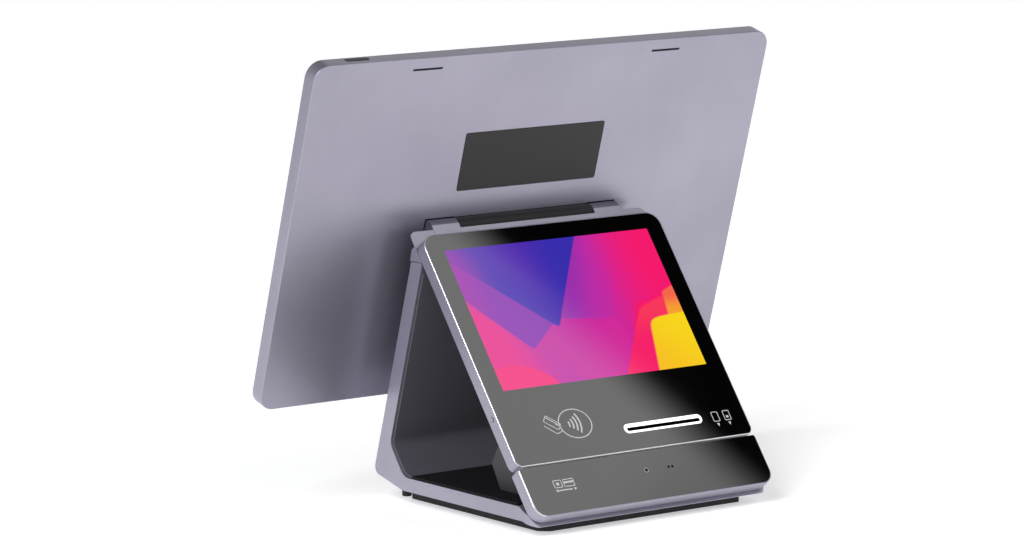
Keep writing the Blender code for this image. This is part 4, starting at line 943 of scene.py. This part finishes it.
def make_rear_feet():
    """Round feet whose tops follow the base's rising underside."""
    rise = math.tan(math.radians(REAR_SLOPE_ANGLE))
    for name in ("rear_foot_left", "rear_foot_right"):
        low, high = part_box(name)
        centre = (low + high) / 2
        mesh = rod((high.x - low.x) / 2, (centre.x, centre.y, low.z),
                   (centre.x, centre.y, BASE_UNDERSIDE))
        for vertex in mesh.vertices:
            if vertex.co.z > low.z + 0.001:
                vertex.co.z = BASE_UNDERSIDE - GAP + (vertex.co.y - REAR_SLOPE_Y) * rise
        foot = add_piece(name.replace("foot", "grip_foot"), mesh, STAND, "stand",
                         [name])
        soften(foot, 0.0006, 3, 40)
        finish_piece(foot, RUBBER)


# ---------------------------------------------------------------- customer slope

UNIT_TOP_CORNER = 0.0092
UNIT_BOTTOM_CORNER = 0.0050
BAR_BOTTOM_CORNER = 0.0085
BAR_TOP_CORNER = 0.0015
RIM = 0.0008
GROOVE_RIM = 0.0006
EDGE_SHINE = 0.0007
SCREEN_SIZE = (0.1508, 0.0942)
GLASS_JOINT = 0.0001
TRAY_FLOOR = 0.0012
KEY_RADIUS = 0.00125
PINHOLES = (0.0165, 0.0192)
PINHOLE_RADIUS = 0.0008
LENS_RADIUS = 0.0016
LENS_CLEARANCE = 0.00005
LENS_STEPS = ((0.72, 0.0005), (0.45, 0.0009))


def slab_outline(low, high, low_radius, high_radius, inset):
    low_radius = max(low_radius - inset, 0.0004)
    high_radius = max(high_radius - inset, 0.0004)
    return filleted([
        (-HALF + inset, low + inset, low_radius),
        (HALF - inset, low + inset, low_radius),
        (HALF - inset, high - inset, high_radius),
        (-HALF + inset, high - inset, high_radius),
    ])


def unit_outline(inset=0.0, groove=None):
    """Outline of the customer unit; groove is its inset on the swipe groove's side."""
    grow = 0 if groove is None else inset - groove
    return slab_outline(UNIT_LOW.z - grow, UNIT_HIGH.z, UNIT_BOTTOM_CORNER, UNIT_TOP_CORNER,
                        inset)


def bar_outline(inset=0.0, groove=None):
    """Outline of the swipe bar; groove is its inset on the swipe groove's side."""
    grow = 0 if groove is None else inset - groove
    return slab_outline(0, BAR_HIGH.z + grow, BAR_BOTTOM_CORNER, BAR_TOP_CORNER, inset)


def screen_window():
    """Lowest and highest (x, z) of the customer screen's picture."""
    low, high = local_box("unit_lcd", SLOPE)
    x = (low.x + high.x) / 2
    z = (low.z + high.z) / 2
    width, height = SCREEN_SIZE
    return (x - width / 2, z - height / 2), (x + width / 2, z + height / 2)


def paint_edge_highlight(tray):
    """Painted highlight: lighter, glossier metal along the slab's front edge bevels at its left and right."""
    assign_faces(tray, EDGE_HIGHLIGHT_METAL, lambda centre, normal: normal.y < -0.25
                 and abs(normal.x) > 0.25 and centre.y < EDGE_SHINE)


def make_unit():
    """Tray, cover glass with its ring hole, and the lit screen flush in the glass."""
    tray = add_piece("unit_tray", plate(FACE, 0, SLAB, unit_outline()), SLOPE, "stand",
                     ["unit_frame"])
    soften(tray, EDGE_SHINE, 4, 60)
    key = middle("side_key", SLOPE)
    cut(tray, plate(FACE, -0.002, SLAB - TRAY_FLOOR, unit_outline(RIM, GROOVE_RIM)),
        rod(KEY_RADIUS + GAP, (-HALF - 0.001, key.y, key.z), (-HALF + 0.004, key.y, key.z), 40))
    reader_low, reader_high = local_box("card_reader", SLOPE)
    cut(tray, box((reader_low.x - GAP, SLAB - 0.003, reader_low.z - GAP),
                  (reader_high.x + GAP, SLAB + 0.001, reader_high.z + GAP)))
    finish_piece(tray, METAL)
    # Painted highlight on the unit's front edge bevels
    paint_edge_highlight(tray)
    # Painted light: the unit's wall along the swipe groove gets the very light metal
    assign_faces(tray, GROOVE_LIGHT_PAINT_METAL, lambda centre, normal: centre.z < UNIT_LOW.z + GROOVE_RIM
                 and abs(centre.x) < HALF - 2 * UNIT_BOTTOM_CORNER / 3)
    low, high = screen_window()
    window = rectangle(low[0], high[0], low[1], high[1], 0.0004)
    ring_low, ring_high = local_box("card_slot_ring", SLOPE)
    ring = (ring_low + ring_high) / 2
    hole = stadium(ring.x, ring.z, ring_high.x - ring_low.x + GAP,
                   ring_high.z - ring_low.z + GAP)
    glass_low, glass_high = local_box("unit_glass", SLOPE)
    outline = unit_outline(RIM + GLASS_JOINT, GROOVE_RIM + GLASS_JOINT)
    glass = add_piece("unit_cover_glass", plate(FACE, glass_low.y, glass_high.y, outline,
                                                window, hole),
                      SLOPE, "stand", ["unit_glass"])
    finish_piece(glass, GLASS)
    lcd_high = local_box("unit_lcd", SLOPE)[1]
    panel = add_piece("customer_screen", plate(FACE, glass_low.y, lcd_high.y, window), SLOPE,
                      "stand", ["unit_lcd"])
    finish_piece(panel, wallpaper(low, high))


CARD_SLEEVE = (0.0546, 0.0024)
CARD_SLOT = (0.0536, 0.0017)
CARD_SLOT_DROP = 0.0006


def make_card_ring():
    """Lit stadium around the card's mouth, and the dark sleeve that lines the slot, whose near-black coat is
    painted shade.
    """
    low, high = local_box("card_slot_ring", SLOPE)
    centre = (low + high) / 2
    slot_z = centre.z - CARD_SLOT_DROP
    outer = stadium(centre.x, centre.z, high.x - low.x, high.z - low.z)
    slot = stadium(centre.x, slot_z, *CARD_SLEEVE)
    ring = add_piece("card_light_ring", plate(FACE, low.y, high.y, outer), SLOPE,
                     "stand", ["card_slot_ring"])
    soften(ring, 0.0003, 3, 50)
    cut(ring, plate(FACE, low.y - 0.001, high.y + 0.001, slot))
    finish_piece(ring, GUIDE)
    sleeve_outline = stadium(centre.x, slot_z, CARD_SLEEVE[0] - 0.0001, CARD_SLEEVE[1] - 0.0001)
    mouth = stadium(centre.x, slot_z, *CARD_SLOT)
    sleeve = add_piece("card_slot_sleeve", plate(FACE, low.y + 0.00005, high.y, sleeve_outline,
                                                 mouth),
                       SLOPE, "stand", ["card_slot_ring"])
    finish_piece(sleeve, POCKET)


def make_side_key():
    """Round key with a flange inside the wall."""
    low, high = local_box("side_key", SLOPE)
    centre = (low + high) / 2
    key = add_piece("round_side_key", rod(KEY_RADIUS, (low.x, centre.y, centre.z),
                                          (high.x, centre.y, centre.z), 40),
                    SLOPE, "side_key", ["side_key"])
    combine(key, "UNION", rod(high.z - centre.z, (high.x - 0.0008, centre.y, centre.z),
                              (high.x, centre.y, centre.z), 40))
    soften(key, 0.0002, 2, 50)
    finish_piece(key, DARK_METAL)


def make_bar():
    """Swipe bar: tray, glass with two pinholes, camera window."""
    tray = add_piece("bar_tray", plate(FACE, 0, SLAB, bar_outline()), SLOPE, "stand",
                     ["bar_frame"])
    soften(tray, EDGE_SHINE, 3, 60)
    glass_low, glass_high = local_box("bar_glass", SLOPE)
    msr_low, msr_high = local_box("magnetic_head", SLOPE)
    cut(tray, plate(FACE, -0.003, glass_high.y + GAP, bar_outline(RIM, -0.001)),
        box((-0.080, -0.001, 0.0080), (0.080, SLAB - 0.0016, BAR_HIGH.z - 0.0015)),
        box((msr_low.x - GAP, msr_low.y - GAP, BAR_HIGH.z - 0.003),
            (msr_high.x + GAP, msr_high.y + GAP, BAR_HIGH.z + 0.001)))
    finish_piece(tray, METAL)
    # Painted highlight on the bar's front edge bevels
    paint_edge_highlight(tray)
    # Painted light: the bar's top faces along the swipe groove get the very light metal
    assign_faces(tray, GROOVE_LIGHT_PAINT_METAL, lambda centre, normal: centre.z > BAR_HIGH.z - GROOVE_RIM
                 and normal.z > 0.5)
    camera = middle("bar_camera", SLOPE)
    holes = [circle(camera.x, camera.z, LENS_RADIUS, 48)]
    holes += [circle(x, camera.z, PINHOLE_RADIUS, 24) for x in PINHOLES]
    outline = bar_outline(RIM + GLASS_JOINT, GLASS_JOINT)
    glass = add_piece("bar_cover_glass",
                      plate(FACE, glass_low.y, glass_high.y, outline, *holes),
                      SLOPE, "stand", ["bar_glass"])
    finish_piece(glass, GLASS)
    make_camera_lens(camera, glass_low.y, local_box("bar_camera", SLOPE)[1].y)


def make_camera_lens(centre, front, back):
    """Camera barrel with a stepped dark bore and a metal rim."""
    def along(radius, start, end):
        return rod(radius, (centre.x, start, centre.z), (centre.x, end, centre.z), 48)

    barrel = add_piece("bar_camera_barrel",
                       along(LENS_RADIUS - LENS_CLEARANCE, front + LENS_CLEARANCE, back),
                       SLOPE, "stand", ["bar_camera"])
    for share, depth in LENS_STEPS:
        cut(barrel, along(LENS_RADIUS * share, front - 0.001, front + depth))
    finish_piece(barrel, BARREL)
    assign_faces(barrel, DARK_METAL, lambda place, normal: normal.y < -0.5
                 and place.y < front + 0.0002)


# ---------------------------------------------------------------- printed symbols

INK = 0.00002
INK_LINE = 0.00048
RING_CENTRE = (-0.0356, 0.0553)
RING_RADII = (0.0118, 0.0097)
WAVE_COUNT = 4
TAP_CARD_PLACE = (-0.0158, 0.0024)
TAP_CARD_TILT = -38
TAP_STROKES = (
    ((-0.0222, 0.0010), (-0.0150, -0.0050)),
    ((-0.0150, -0.0050), (-0.0108, -0.0036)),
    ((-0.0140, 0.0012), (-0.0106, -0.0010)),
)


def print_symbol(name, shapes):
    """Ink on the glass: each shape is a list of outlines, the first filled, the rest holes."""
    depth = local_box("unit_glass", SLOPE)[0].y
    for index, outlines in enumerate(shapes):
        mesh = plate(FACE, depth - INK, depth - INK / 8, *outlines)
        piece = add_piece(f"{name}_{index + 1}", mesh, SLOPE, "stand")
        finish_piece(piece, PRINT)


def stroke(start, end, width):
    """Straight line with square ends between two points."""
    start, end = Vector(start), Vector(end)
    side = (end - start).orthogonal().normalized() * (width / 2)
    return [start + side, end + side, end - side, start - side]


def arrow(a, b, size, degrees):
    """Solid triangle that points along the angle."""
    head = [Vector((a + size, b)), Vector((a - size * 0.6, b + size * 0.8)),
            Vector((a - size * 0.6, b - size * 0.8))]
    return turned(head, (a, b), degrees)


def card_mark(a, b, length, height, radius=0.0008):
    """Card drawn as a line: its outline and a smaller one inside it."""
    return [centred(a, b, length, height, radius),
            centred(a, b, length - 2 * INK_LINE, height - 2 * INK_LINE, 0.0004)]


def make_tap_symbol():
    """Card held to waves in a ring."""
    x, z = RING_CENTRE
    wide, high = RING_RADII
    shapes = [[oval(x, z, wide, high), oval(x, z, wide - INK_LINE * 1.5, high - INK_LINE * 1.3)]]
    for index in range(WAVE_COUNT):
        radius = 0.0040 + 0.0026 * index
        reach = 26 + 2 * index
        shapes.append([arc_band(x - 0.0082, z, radius, 0.0011, -reach, reach)])
    pivot = (x + TAP_CARD_PLACE[0], z + TAP_CARD_PLACE[1])
    stripe = centred(pivot[0] - 0.0006, pivot[1] + 0.0010, 0.0086, 0.0006)
    for outlines in (card_mark(*pivot, 0.0110, 0.0050), [stripe]):
        shapes.append([turned(outline, pivot, TAP_CARD_TILT) for outline in outlines])
    for start, end in TAP_STROKES:
        shapes.append([stroke((x + start[0], z + start[1]), (x + end[0], z + end[1]),
                              INK_LINE)])
    print_symbol("contactless_symbol", shapes)


def make_insert_symbol():
    """Two upright cards with arrows, for either way up."""
    shapes = []
    z = 0.0470
    for x in (0.0652, 0.0738):
        shapes.append(card_mark(x, z, 0.0050, 0.0066, 0.0009))
        shapes.append([arrow(x, z - 0.0052, 0.0013, 270)])
    shapes.append([centred(0.0738, z - 0.0009, 0.0018, 0.0014)])
    print_symbol("insert_symbol", shapes)


def make_swipe_symbol():
    """Two cards over a slot line with an arrow at each end."""
    left, right, z = -0.0652, -0.0572, 0.0192
    base = z - 0.0042
    print_symbol("swipe_symbol", [
        card_mark(left, z, 0.0060, 0.0050),
        [centred(left, z, 0.0020, 0.0018)],
        card_mark(right, z, 0.0078, 0.0050),
        [centred(right, z + 0.0004, 0.0066, 0.0012)],
        [centred((left + right) / 2, base, 0.0100, 0.0007)],
        [arrow(left - 0.0020, base, 0.0012, 180)],
        [arrow(right + 0.0030, base, 0.0012, 0)],
    ])


# ---------------------------------------------------------------- merchant display

COVER_LOW, COVER_HIGH = local_box("display_back_cover", DISPLAY)
DISPLAY_CORNER = 0.010
DISPLAY_RIM = 0.0011
SHELL_SKIN = 0.0011
POCKET_CLEARANCE = 0.00075
BOSS_WALL = 0.0026
VENT = (0.0214, 0.0013)
BUTTON = (0.0164, 0.0036)


def display_outline(inset=0.0):
    return rectangle(COVER_LOW.x + inset, COVER_HIGH.x - inset, COVER_LOW.z + inset,
                     COVER_HIGH.z - inset, DISPLAY_CORNER - inset)


def make_display_shell():
    """Metal shell with its hinge pockets, vents, label recess, button slot and ports."""
    back, front = COVER_LOW.y, COVER_HIGH.y
    shell = add_piece("display_shell", plate(FACE, back, front, display_outline()), DISPLAY,
                      "display", ["display_back_cover"])
    soften(shell, 0.0006, 4, 60)
    cut(shell, plate(FACE, back + SHELL_SKIN, front + 0.002, display_outline(DISPLAY_RIM)))
    inner, outer = knuckle_span()
    pocket = KNUCKLE_RADIUS + POCKET_CLEARANCE
    pocket_x = outer + POCKET_CLEARANCE
    boss_x = outer + BOSS_WALL
    boss_z = pocket + BOSS_WALL / 2
    combine(shell, "UNION", box((-boss_x, back + 0.0005, -boss_z),
                                (boss_x, pocket + 0.0006, boss_z)))
    cut(shell, rod(KNUCKLE_RADIUS + GAP, (-pocket_x, 0, 0), (pocket_x, 0, 0), 96))
    for side in (-1, 1):
        cut(shell, rod(pocket, (side * (inner - 0.0005), 0, 0), (side * pocket_x, 0, 0), 96))
    cut_openings(shell, back)
    finish_piece(shell, METAL)
    # Painted shade: the hinge pockets' faces get the near-black coat
    margin = GAP / 3
    assign_faces(shell, POCKET, lambda centre, normal: abs(centre.x) < pocket_x + margin
                 and abs(centre.z) < pocket + margin and centre.y > back + 2 * margin)


def cut_openings(shell, back):
    """Label recess, vents, button slot and the ports in the right edge."""
    low, high = local_box("label_plate", DISPLAY)
    recess = rectangle(low.x - GAP, high.x + GAP, low.z - GAP, high.z + GAP, 0.0015)
    cut(shell, plate(FACE, back - 0.001, high.y + GAP, recess))
    for name in ("vent_mesh_left", "vent_mesh_right"):
        centre = middle(name, DISPLAY)
        cut(shell, plate(FACE, back - 0.001, back + 0.002, stadium(centre.x, centre.z, *VENT)))
    button = middle("power_button", DISPLAY)
    slot = stadium(button.x, button.y, BUTTON[0] + 2 * GAP, BUTTON[1] + 2 * GAP)
    cut(shell, plate(TOP, COVER_HIGH.z - 0.003, COVER_HIGH.z + 0.001, slot))
    for name in ("power_inlet", "accessory_port_1", "accessory_port_2"):
        low, high = local_box(name, DISPLAY)
        centre = (low + high) / 2
        upright = stadium(centre.z, centre.y, high.z - low.z + 2 * GAP,
                          high.y - low.y + 2 * GAP)
        port = [Vector((point[1], point[0])) for point in reversed(upright)]
        cut(shell, plate(SIDE, COVER_HIGH.x - 0.003, COVER_HIGH.x + 0.001, port))


def make_display_trim():
    """Label plate, vent mesh, power button and the hinge's barrel cover."""
    low, high = local_box("label_plate", DISPLAY)
    label = add_piece("blank_label_plate", plate(FACE, low.y, high.y,
                                                 rectangle(low.x, high.x, low.z, high.z,
                                                           0.0013)),
                      DISPLAY, "display", ["label_plate"])
    soften(label, 0.00012, 2, 50)
    finish_piece(label, LABEL)
    low, high = local_box("power_button", DISPLAY)
    centre = (low + high) / 2
    button = add_piece("power_key", plate(TOP, low.z, high.z,
                                          stadium(centre.x, centre.y, *BUTTON)),
                       DISPLAY, "power_button", ["power_button"])
    soften(button, 0.0003, 3, 50)
    combine(button, "UNION", box((low.x, low.y, low.z), (high.x, high.y, low.z + 0.0010)))
    finish_piece(button, CHARCOAL)
    make_vent_meshes()
    make_barrel_cover()


def make_vent_meshes():
    """Strip with a row of round holes behind each slot."""
    for name in ("vent_mesh_left", "vent_mesh_right"):
        low, high = local_box(name, DISPLAY)
        centre = (low + high) / 2
        pitch = 0.0010
        count = int((high.x - low.x) / pitch) - 2
        holes = [circle(centre.x + (index - (count - 1) / 2) * pitch, centre.z, 0.00032, 16)
                 for index in range(count)]
        mesh = plate(FACE, low.y, high.y, rectangle(low.x, high.x, low.z, high.z), *holes)
        strip = add_piece(name.replace("mesh", "strip"), mesh, DISPLAY, "display",
                          [name])
        finish_piece(strip, CHARCOAL)


def make_barrel_cover():
    """Dark tube between the knuckles, open on the display's side."""
    low, high = local_box("hinge_barrel_cover", DISPLAY)
    inner_radius = KNUCKLE_RADIUS - BARREL_WALL
    opening = math.asin(BARREL_MOUTH / inner_radius)
    count = 72
    turns = [opening + (2 * math.pi - 2 * opening) * step / count for step in range(count + 1)]
    outline = arc(0, 0, KNUCKLE_RADIUS, turns) + arc(0, 0, inner_radius, reversed(turns))
    cover = add_piece("barrel_cover", plate(SIDE, low.x, high.x, outline), DISPLAY, "display",
                      ["hinge_barrel_cover"])
    soften(cover, 0.0002, 2, 60)
    finish_piece(cover, BARREL)


def make_display_front():
    """Cover glass with its window, and the merchant's lit screen."""
    low, high = local_box("display_glass", DISPLAY)
    lcd_low, lcd_high = local_box("display_lcd", DISPLAY)
    border_x = (lcd_high.x - lcd_low.x - MERCHANT_PICTURE[0]) / 2
    border_z = (lcd_high.z - lcd_low.z - MERCHANT_PICTURE[1]) / 2
    window = rectangle(lcd_low.x + border_x, lcd_high.x - border_x, lcd_low.z + border_z,
                       lcd_high.z - border_z, 0.0006)
    glass = add_piece("display_cover_glass", plate(FACE, low.y, high.y,
                                                   display_outline(DISPLAY_RIM + 0.0001),
                                                   window),
                      DISPLAY, "display", ["display_glass"])
    finish_piece(glass, DISPLAY_GLASS)
    screen = add_piece("merchant_screen", plate(FACE, lcd_low.y, high.y, window), DISPLAY,
                       "display", ["display_lcd"])
    finish_piece(screen, lit_colour("screen_ground", (0.030, 0.034, 0.052)))
    make_till_layout(Vector((lcd_low.x + border_x, high.y, lcd_low.z + border_z)),
                     Vector((lcd_high.x - border_x, high.y, lcd_high.z - border_z)))


MERCHANT_PICTURE = (0.3094, 0.1740)
TILE_COLOURS = {
    "teal": (0.03, 0.30, 0.32),
    "amber": (0.80, 0.34, 0.05),
    "rose": (0.62, 0.09, 0.20),
    "violet": (0.22, 0.11, 0.52),
    "blue": (0.05, 0.20, 0.62),
    "green": (0.07, 0.38, 0.14),
}


def make_till_layout(low, high):
    """Plain till layout: a grid of tiles, a receipt list and a pay key, with no words.

    The merchant faces the display from +y, so their left is at +x.
    """
    width = high.x - low.x
    height = high.z - low.z
    depth = high.y

    def area(left, top, across, down, radius=0.0012):
        """Rounded rectangle at a share of the picture from the merchant's top left."""
        return rectangle(high.x - (left + across) * width, high.x - left * width,
                         high.z - (top + down) * height, high.z - top * height, radius)

    groups = {name: [] for name in TILE_COLOURS}
    names = list(TILE_COLOURS)
    rows, columns = 4, 5
    for row in range(rows):
        for column in range(columns):
            name = names[(column * 2 + row * 3 + row * column) % len(names)]
            groups[name].append(area(0.02 + column * 0.128, 0.13 + row * 0.212, 0.118, 0.192))
    layers = [(name, TILE_COLOURS[name], outlines) for name, outlines in groups.items()]
    lines = [area(0.70, 0.15 + index * 0.062, 0.17 - 0.02 * (index % 3), 0.016, 0.0006)
             for index in range(8)]
    prices = [area(0.92, 0.15 + index * 0.062, 0.04, 0.016, 0.0006) for index in range(8)]
    layers.append(("receipt", (0.55, 0.57, 0.62), lines + prices))
    layers.append(("header", (0.10, 0.12, 0.20), [area(0.0, 0.0, 1.0, 0.085, 0.0004)]))
    layers.append(("total", (0.85, 0.87, 0.90), [area(0.84, 0.70, 0.12, 0.045, 0.0008)]))
    layers.append(("pay", (0.04, 0.50, 0.20), [area(0.69, 0.80, 0.29, 0.15)]))
    for index, (name, colour, outlines) in enumerate(layers):
        mesh = plate(FACE, depth, depth + 0.00003, *outlines)
        tiles = add_piece(f"till_{name}", mesh, DISPLAY, "display")
        finish_piece(tiles, lit_colour(f"lit_{name}", colour))


# ---------------------------------------------------------------- remaining CAD nodes

def dress_cad_nodes():
    """Better materials on the CAD nodes that stay as they are."""
    finishes = {
        "steel": STEEL, "circuit_board": BOARD, "copper": COPPER, "bearing_bronze": BRONZE,
        "dark_plastic": CHARCOAL, "foot_rubber": RUBBER, "housing_metal": METAL,
        "cover_glass": GLASS, "screen_panel": CHARCOAL, "light_guide": GUIDE,
    }
    slots = {part["node"]: part["material_slot"] for part in frame["record"]["subparts"]}
    for name, node in frame["nodes"].items():
        node.data.materials.clear()
        node.data.materials.append(finishes[slots[name]])


# ---------------------------------------------------------------- studio

FLOOR_TONE = 0.86
FLOOR_GLOW = 0.42
KEY_DIRECTION = Vector((-0.72, -0.26, 0.64))
KEY_STRENGTH = 1.9
KEY_SPREAD = 28
HORIZON_LIGHT = 0.95
ZENITH_LIGHT = 0.34
DARK_LIGHT = 0.008
BACK_CORNER = Vector((-0.22, 0.55, 0.80))
BACK_CORNER_LIGHT = 0.30


def make_floor():
    mesh = plate(TOP, -0.02, -0.00002, rectangle(-12, 12, -12, 12))
    floor = new_object("floor", mesh)
    shader = Shader("floor_paper")
    tone = (FLOOR_TONE, FLOOR_TONE, FLOOR_TONE)
    shader.set(Base_Color=shader.mix(shader.noise(3), tone, tuple(c * 0.985 for c in tone)))
    shader.set(Roughness=0.9, Specular_IOR_Level=0.1)
    shader.set(Emission_Color=(1.0, 1.0, 1.0, 1.0), Emission_Strength=FLOOR_GLOW)
    floor.data.materials.append(shader.material)


def make_key_light():
    """Broad distant light from the upper left, which runs along the slab's edges."""
    data = bpy.data.lights.new("key", "SUN")
    data.energy = KEY_STRENGTH
    data.angle = math.radians(KEY_SPREAD)
    light = new_object("key", data)
    light.matrix_world = KEY_DIRECTION.to_track_quat("Z", "Y").to_matrix().to_4x4()


GLASS_MIDDLE = 0.10


def glass_mirror_direction():
    """Where the camera looks after the customer glass has mirrored its view."""
    normal = -SLOPE.col[1].xyz
    sight = (SLOPE @ Vector((0, 0, GLASS_MIDDLE)) - bpy.context.scene.camera.location).normalized()
    return sight - normal * (2 * sight.dot(normal))


def make_world():
    """Pale room that is brightest at the horizon, with two dark corners.

    The customer glass mirrors the darker one, and the walls that face back the other.
    """
    world = bpy.data.worlds.new("studio")
    world.use_nodes = True
    background = world.node_tree.nodes["Background"]
    nodes = Nodes(world.node_tree)
    way = nodes.add("ShaderNodeTexCoord").outputs["Generated"]

    def corner_shade(direction, start, end, light):
        """1 away from a direction, falling to a lower light at it."""
        toward = nodes.add("ShaderNodeVectorMath", operation="DOT_PRODUCT")
        nodes.put(toward.inputs[0], way)
        toward.inputs[1].default_value = direction
        return nodes.span(toward.outputs["Value"], start, end, 1.0, light, smooth=True)

    sky = nodes.span(nodes.axes(way)["Z"], 0.15, 0.95, HORIZON_LIGHT, ZENITH_LIGHT, smooth=True)
    dusk = corner_shade(BACK_CORNER.normalized(), 0.50, 0.95, BACK_CORNER_LIGHT)
    shade = corner_shade(glass_mirror_direction(), 0.66, 0.93, DARK_LIGHT)
    strength = nodes.math("MULTIPLY", nodes.math("MULTIPLY", sky, dusk), shade)
    nodes.put(background.inputs["Strength"], strength)
    background.inputs["Color"].default_value = (0.985, 0.985, 1.0, 1.0)
    bpy.context.scene.world = world


CARD_DISTANCE = 1.5
FLAG_BOX = ((-1.7, 1.0, 0.0), (-0.55, 1.02, 0.55))
CARD_REACH = 0.34
CARD_GLOW = 2.38
GLOW_EDGE = ((0.060, 0.0115), (-0.047, 0.1790))
GLOW_FADE = 0.024


def make_reflection_card():
    """Glowing card whose soft edge the customer glass mirrors along a slanting line.

    The camera doesn't see it and it casts no shadow, but it does light the model a little.
    """
    camera = bpy.context.scene.camera.location
    normal = -SLOPE.col[1].xyz
    origin = SLOPE.translation
    mirrored_camera = camera - normal * (2 * (camera - origin).dot(normal))
    facing = glass_mirror_direction()
    centre = SLOPE @ Vector((0, 0, GLASS_MIDDLE)) + facing * CARD_DISTANCE

    def seen(x, s):
        """Point of the card that the camera sees mirrored at a place on the glass."""
        place = SLOPE @ Vector((x, 0, s))
        sight = (place - mirrored_camera).normalized()
        return place + sight * ((centre - place).dot(facing) / sight.dot(facing))

    low, high = (seen(*place) for place in GLOW_EDGE)
    along = (high - low).normalized()
    across = along.cross(facing).normalized()
    fade = abs((seen(GLOW_EDGE[0][0] + GLOW_FADE, GLOW_EDGE[0][1]) - low).dot(across))
    if (seen(-HALF, GLASS_MIDDLE) - low).dot(across) > 0:
        across = -across
    middle = (low + high) / 2 - across * (CARD_REACH - fade)
    place = Matrix.Identity(4)
    for index, axis in enumerate((across, across.cross(along) * -1, along)):
        place.col[index].xyz = axis
    place.translation = middle
    reach = CARD_REACH
    card = new_object("reflection_card",
                      plate(FACE, 0, 0.002, rectangle(-reach, reach, -reach, reach)))
    card.matrix_world = place
    shader = Shader("card_glow")
    parts = shader.axes(shader.coordinates)
    glow = shader.span(parts["X"], reach, reach - 2 * fade, smooth=True)
    foot = -(high - low).length / 2
    fall = shader.span(parts["Z"], foot, foot * 0.45, 0.80, 1.0, smooth=True)
    glow = shader.math("MULTIPLY", glow, fall)
    shader.set(Base_Color=(0, 0, 0, 1), Roughness=1.0, Specular_IOR_Level=0.0)
    shader.set(Emission_Color=(1, 1, 0.99, 1))
    shader.set(Emission_Strength=shader.math("MULTIPLY", glow, CARD_GLOW))
    card.data.materials.append(shader.material)
    card.visible_camera = False
    card.visible_shadow = False


def make_gray_flag():
    """Gray panel behind on the left, seen only in the gloss of the walls that face it."""
    flag = new_object("gray_flag", box(*FLAG_BOX))
    shader = Shader("flag_cloth")
    tone = shader.mix(shader.noise(4), (0.44, 0.44, 0.46), (0.50, 0.50, 0.52))
    shader.set(Base_Color=(0, 0, 0, 1), Roughness=1.0, Specular_IOR_Level=0.0)
    shader.set(Emission_Color=tone, Emission_Strength=1.0)
    flag.data.materials.append(shader.material)
    flag.visible_camera = False
    flag.visible_shadow = False
    flag.visible_diffuse = False


def make_studio():
    make_floor()
    make_gray_flag()
    make_world()
    make_key_light()
    make_reflection_card()
    bpy.context.scene.view_settings.view_transform = "Standard"


make_camera()
make_stand_frame()
make_stand_head()
make_inner_shade_cover()
make_reader_block()
make_pad()
make_rear_feet()
make_unit()
make_card_ring()
make_side_key()
make_bar()
make_tap_symbol()
make_insert_symbol()
make_swipe_symbol()
make_display_shell()
make_display_trim()
make_display_front()
dress_cad_nodes()
make_studio()

bpy.context.view_layer.update()
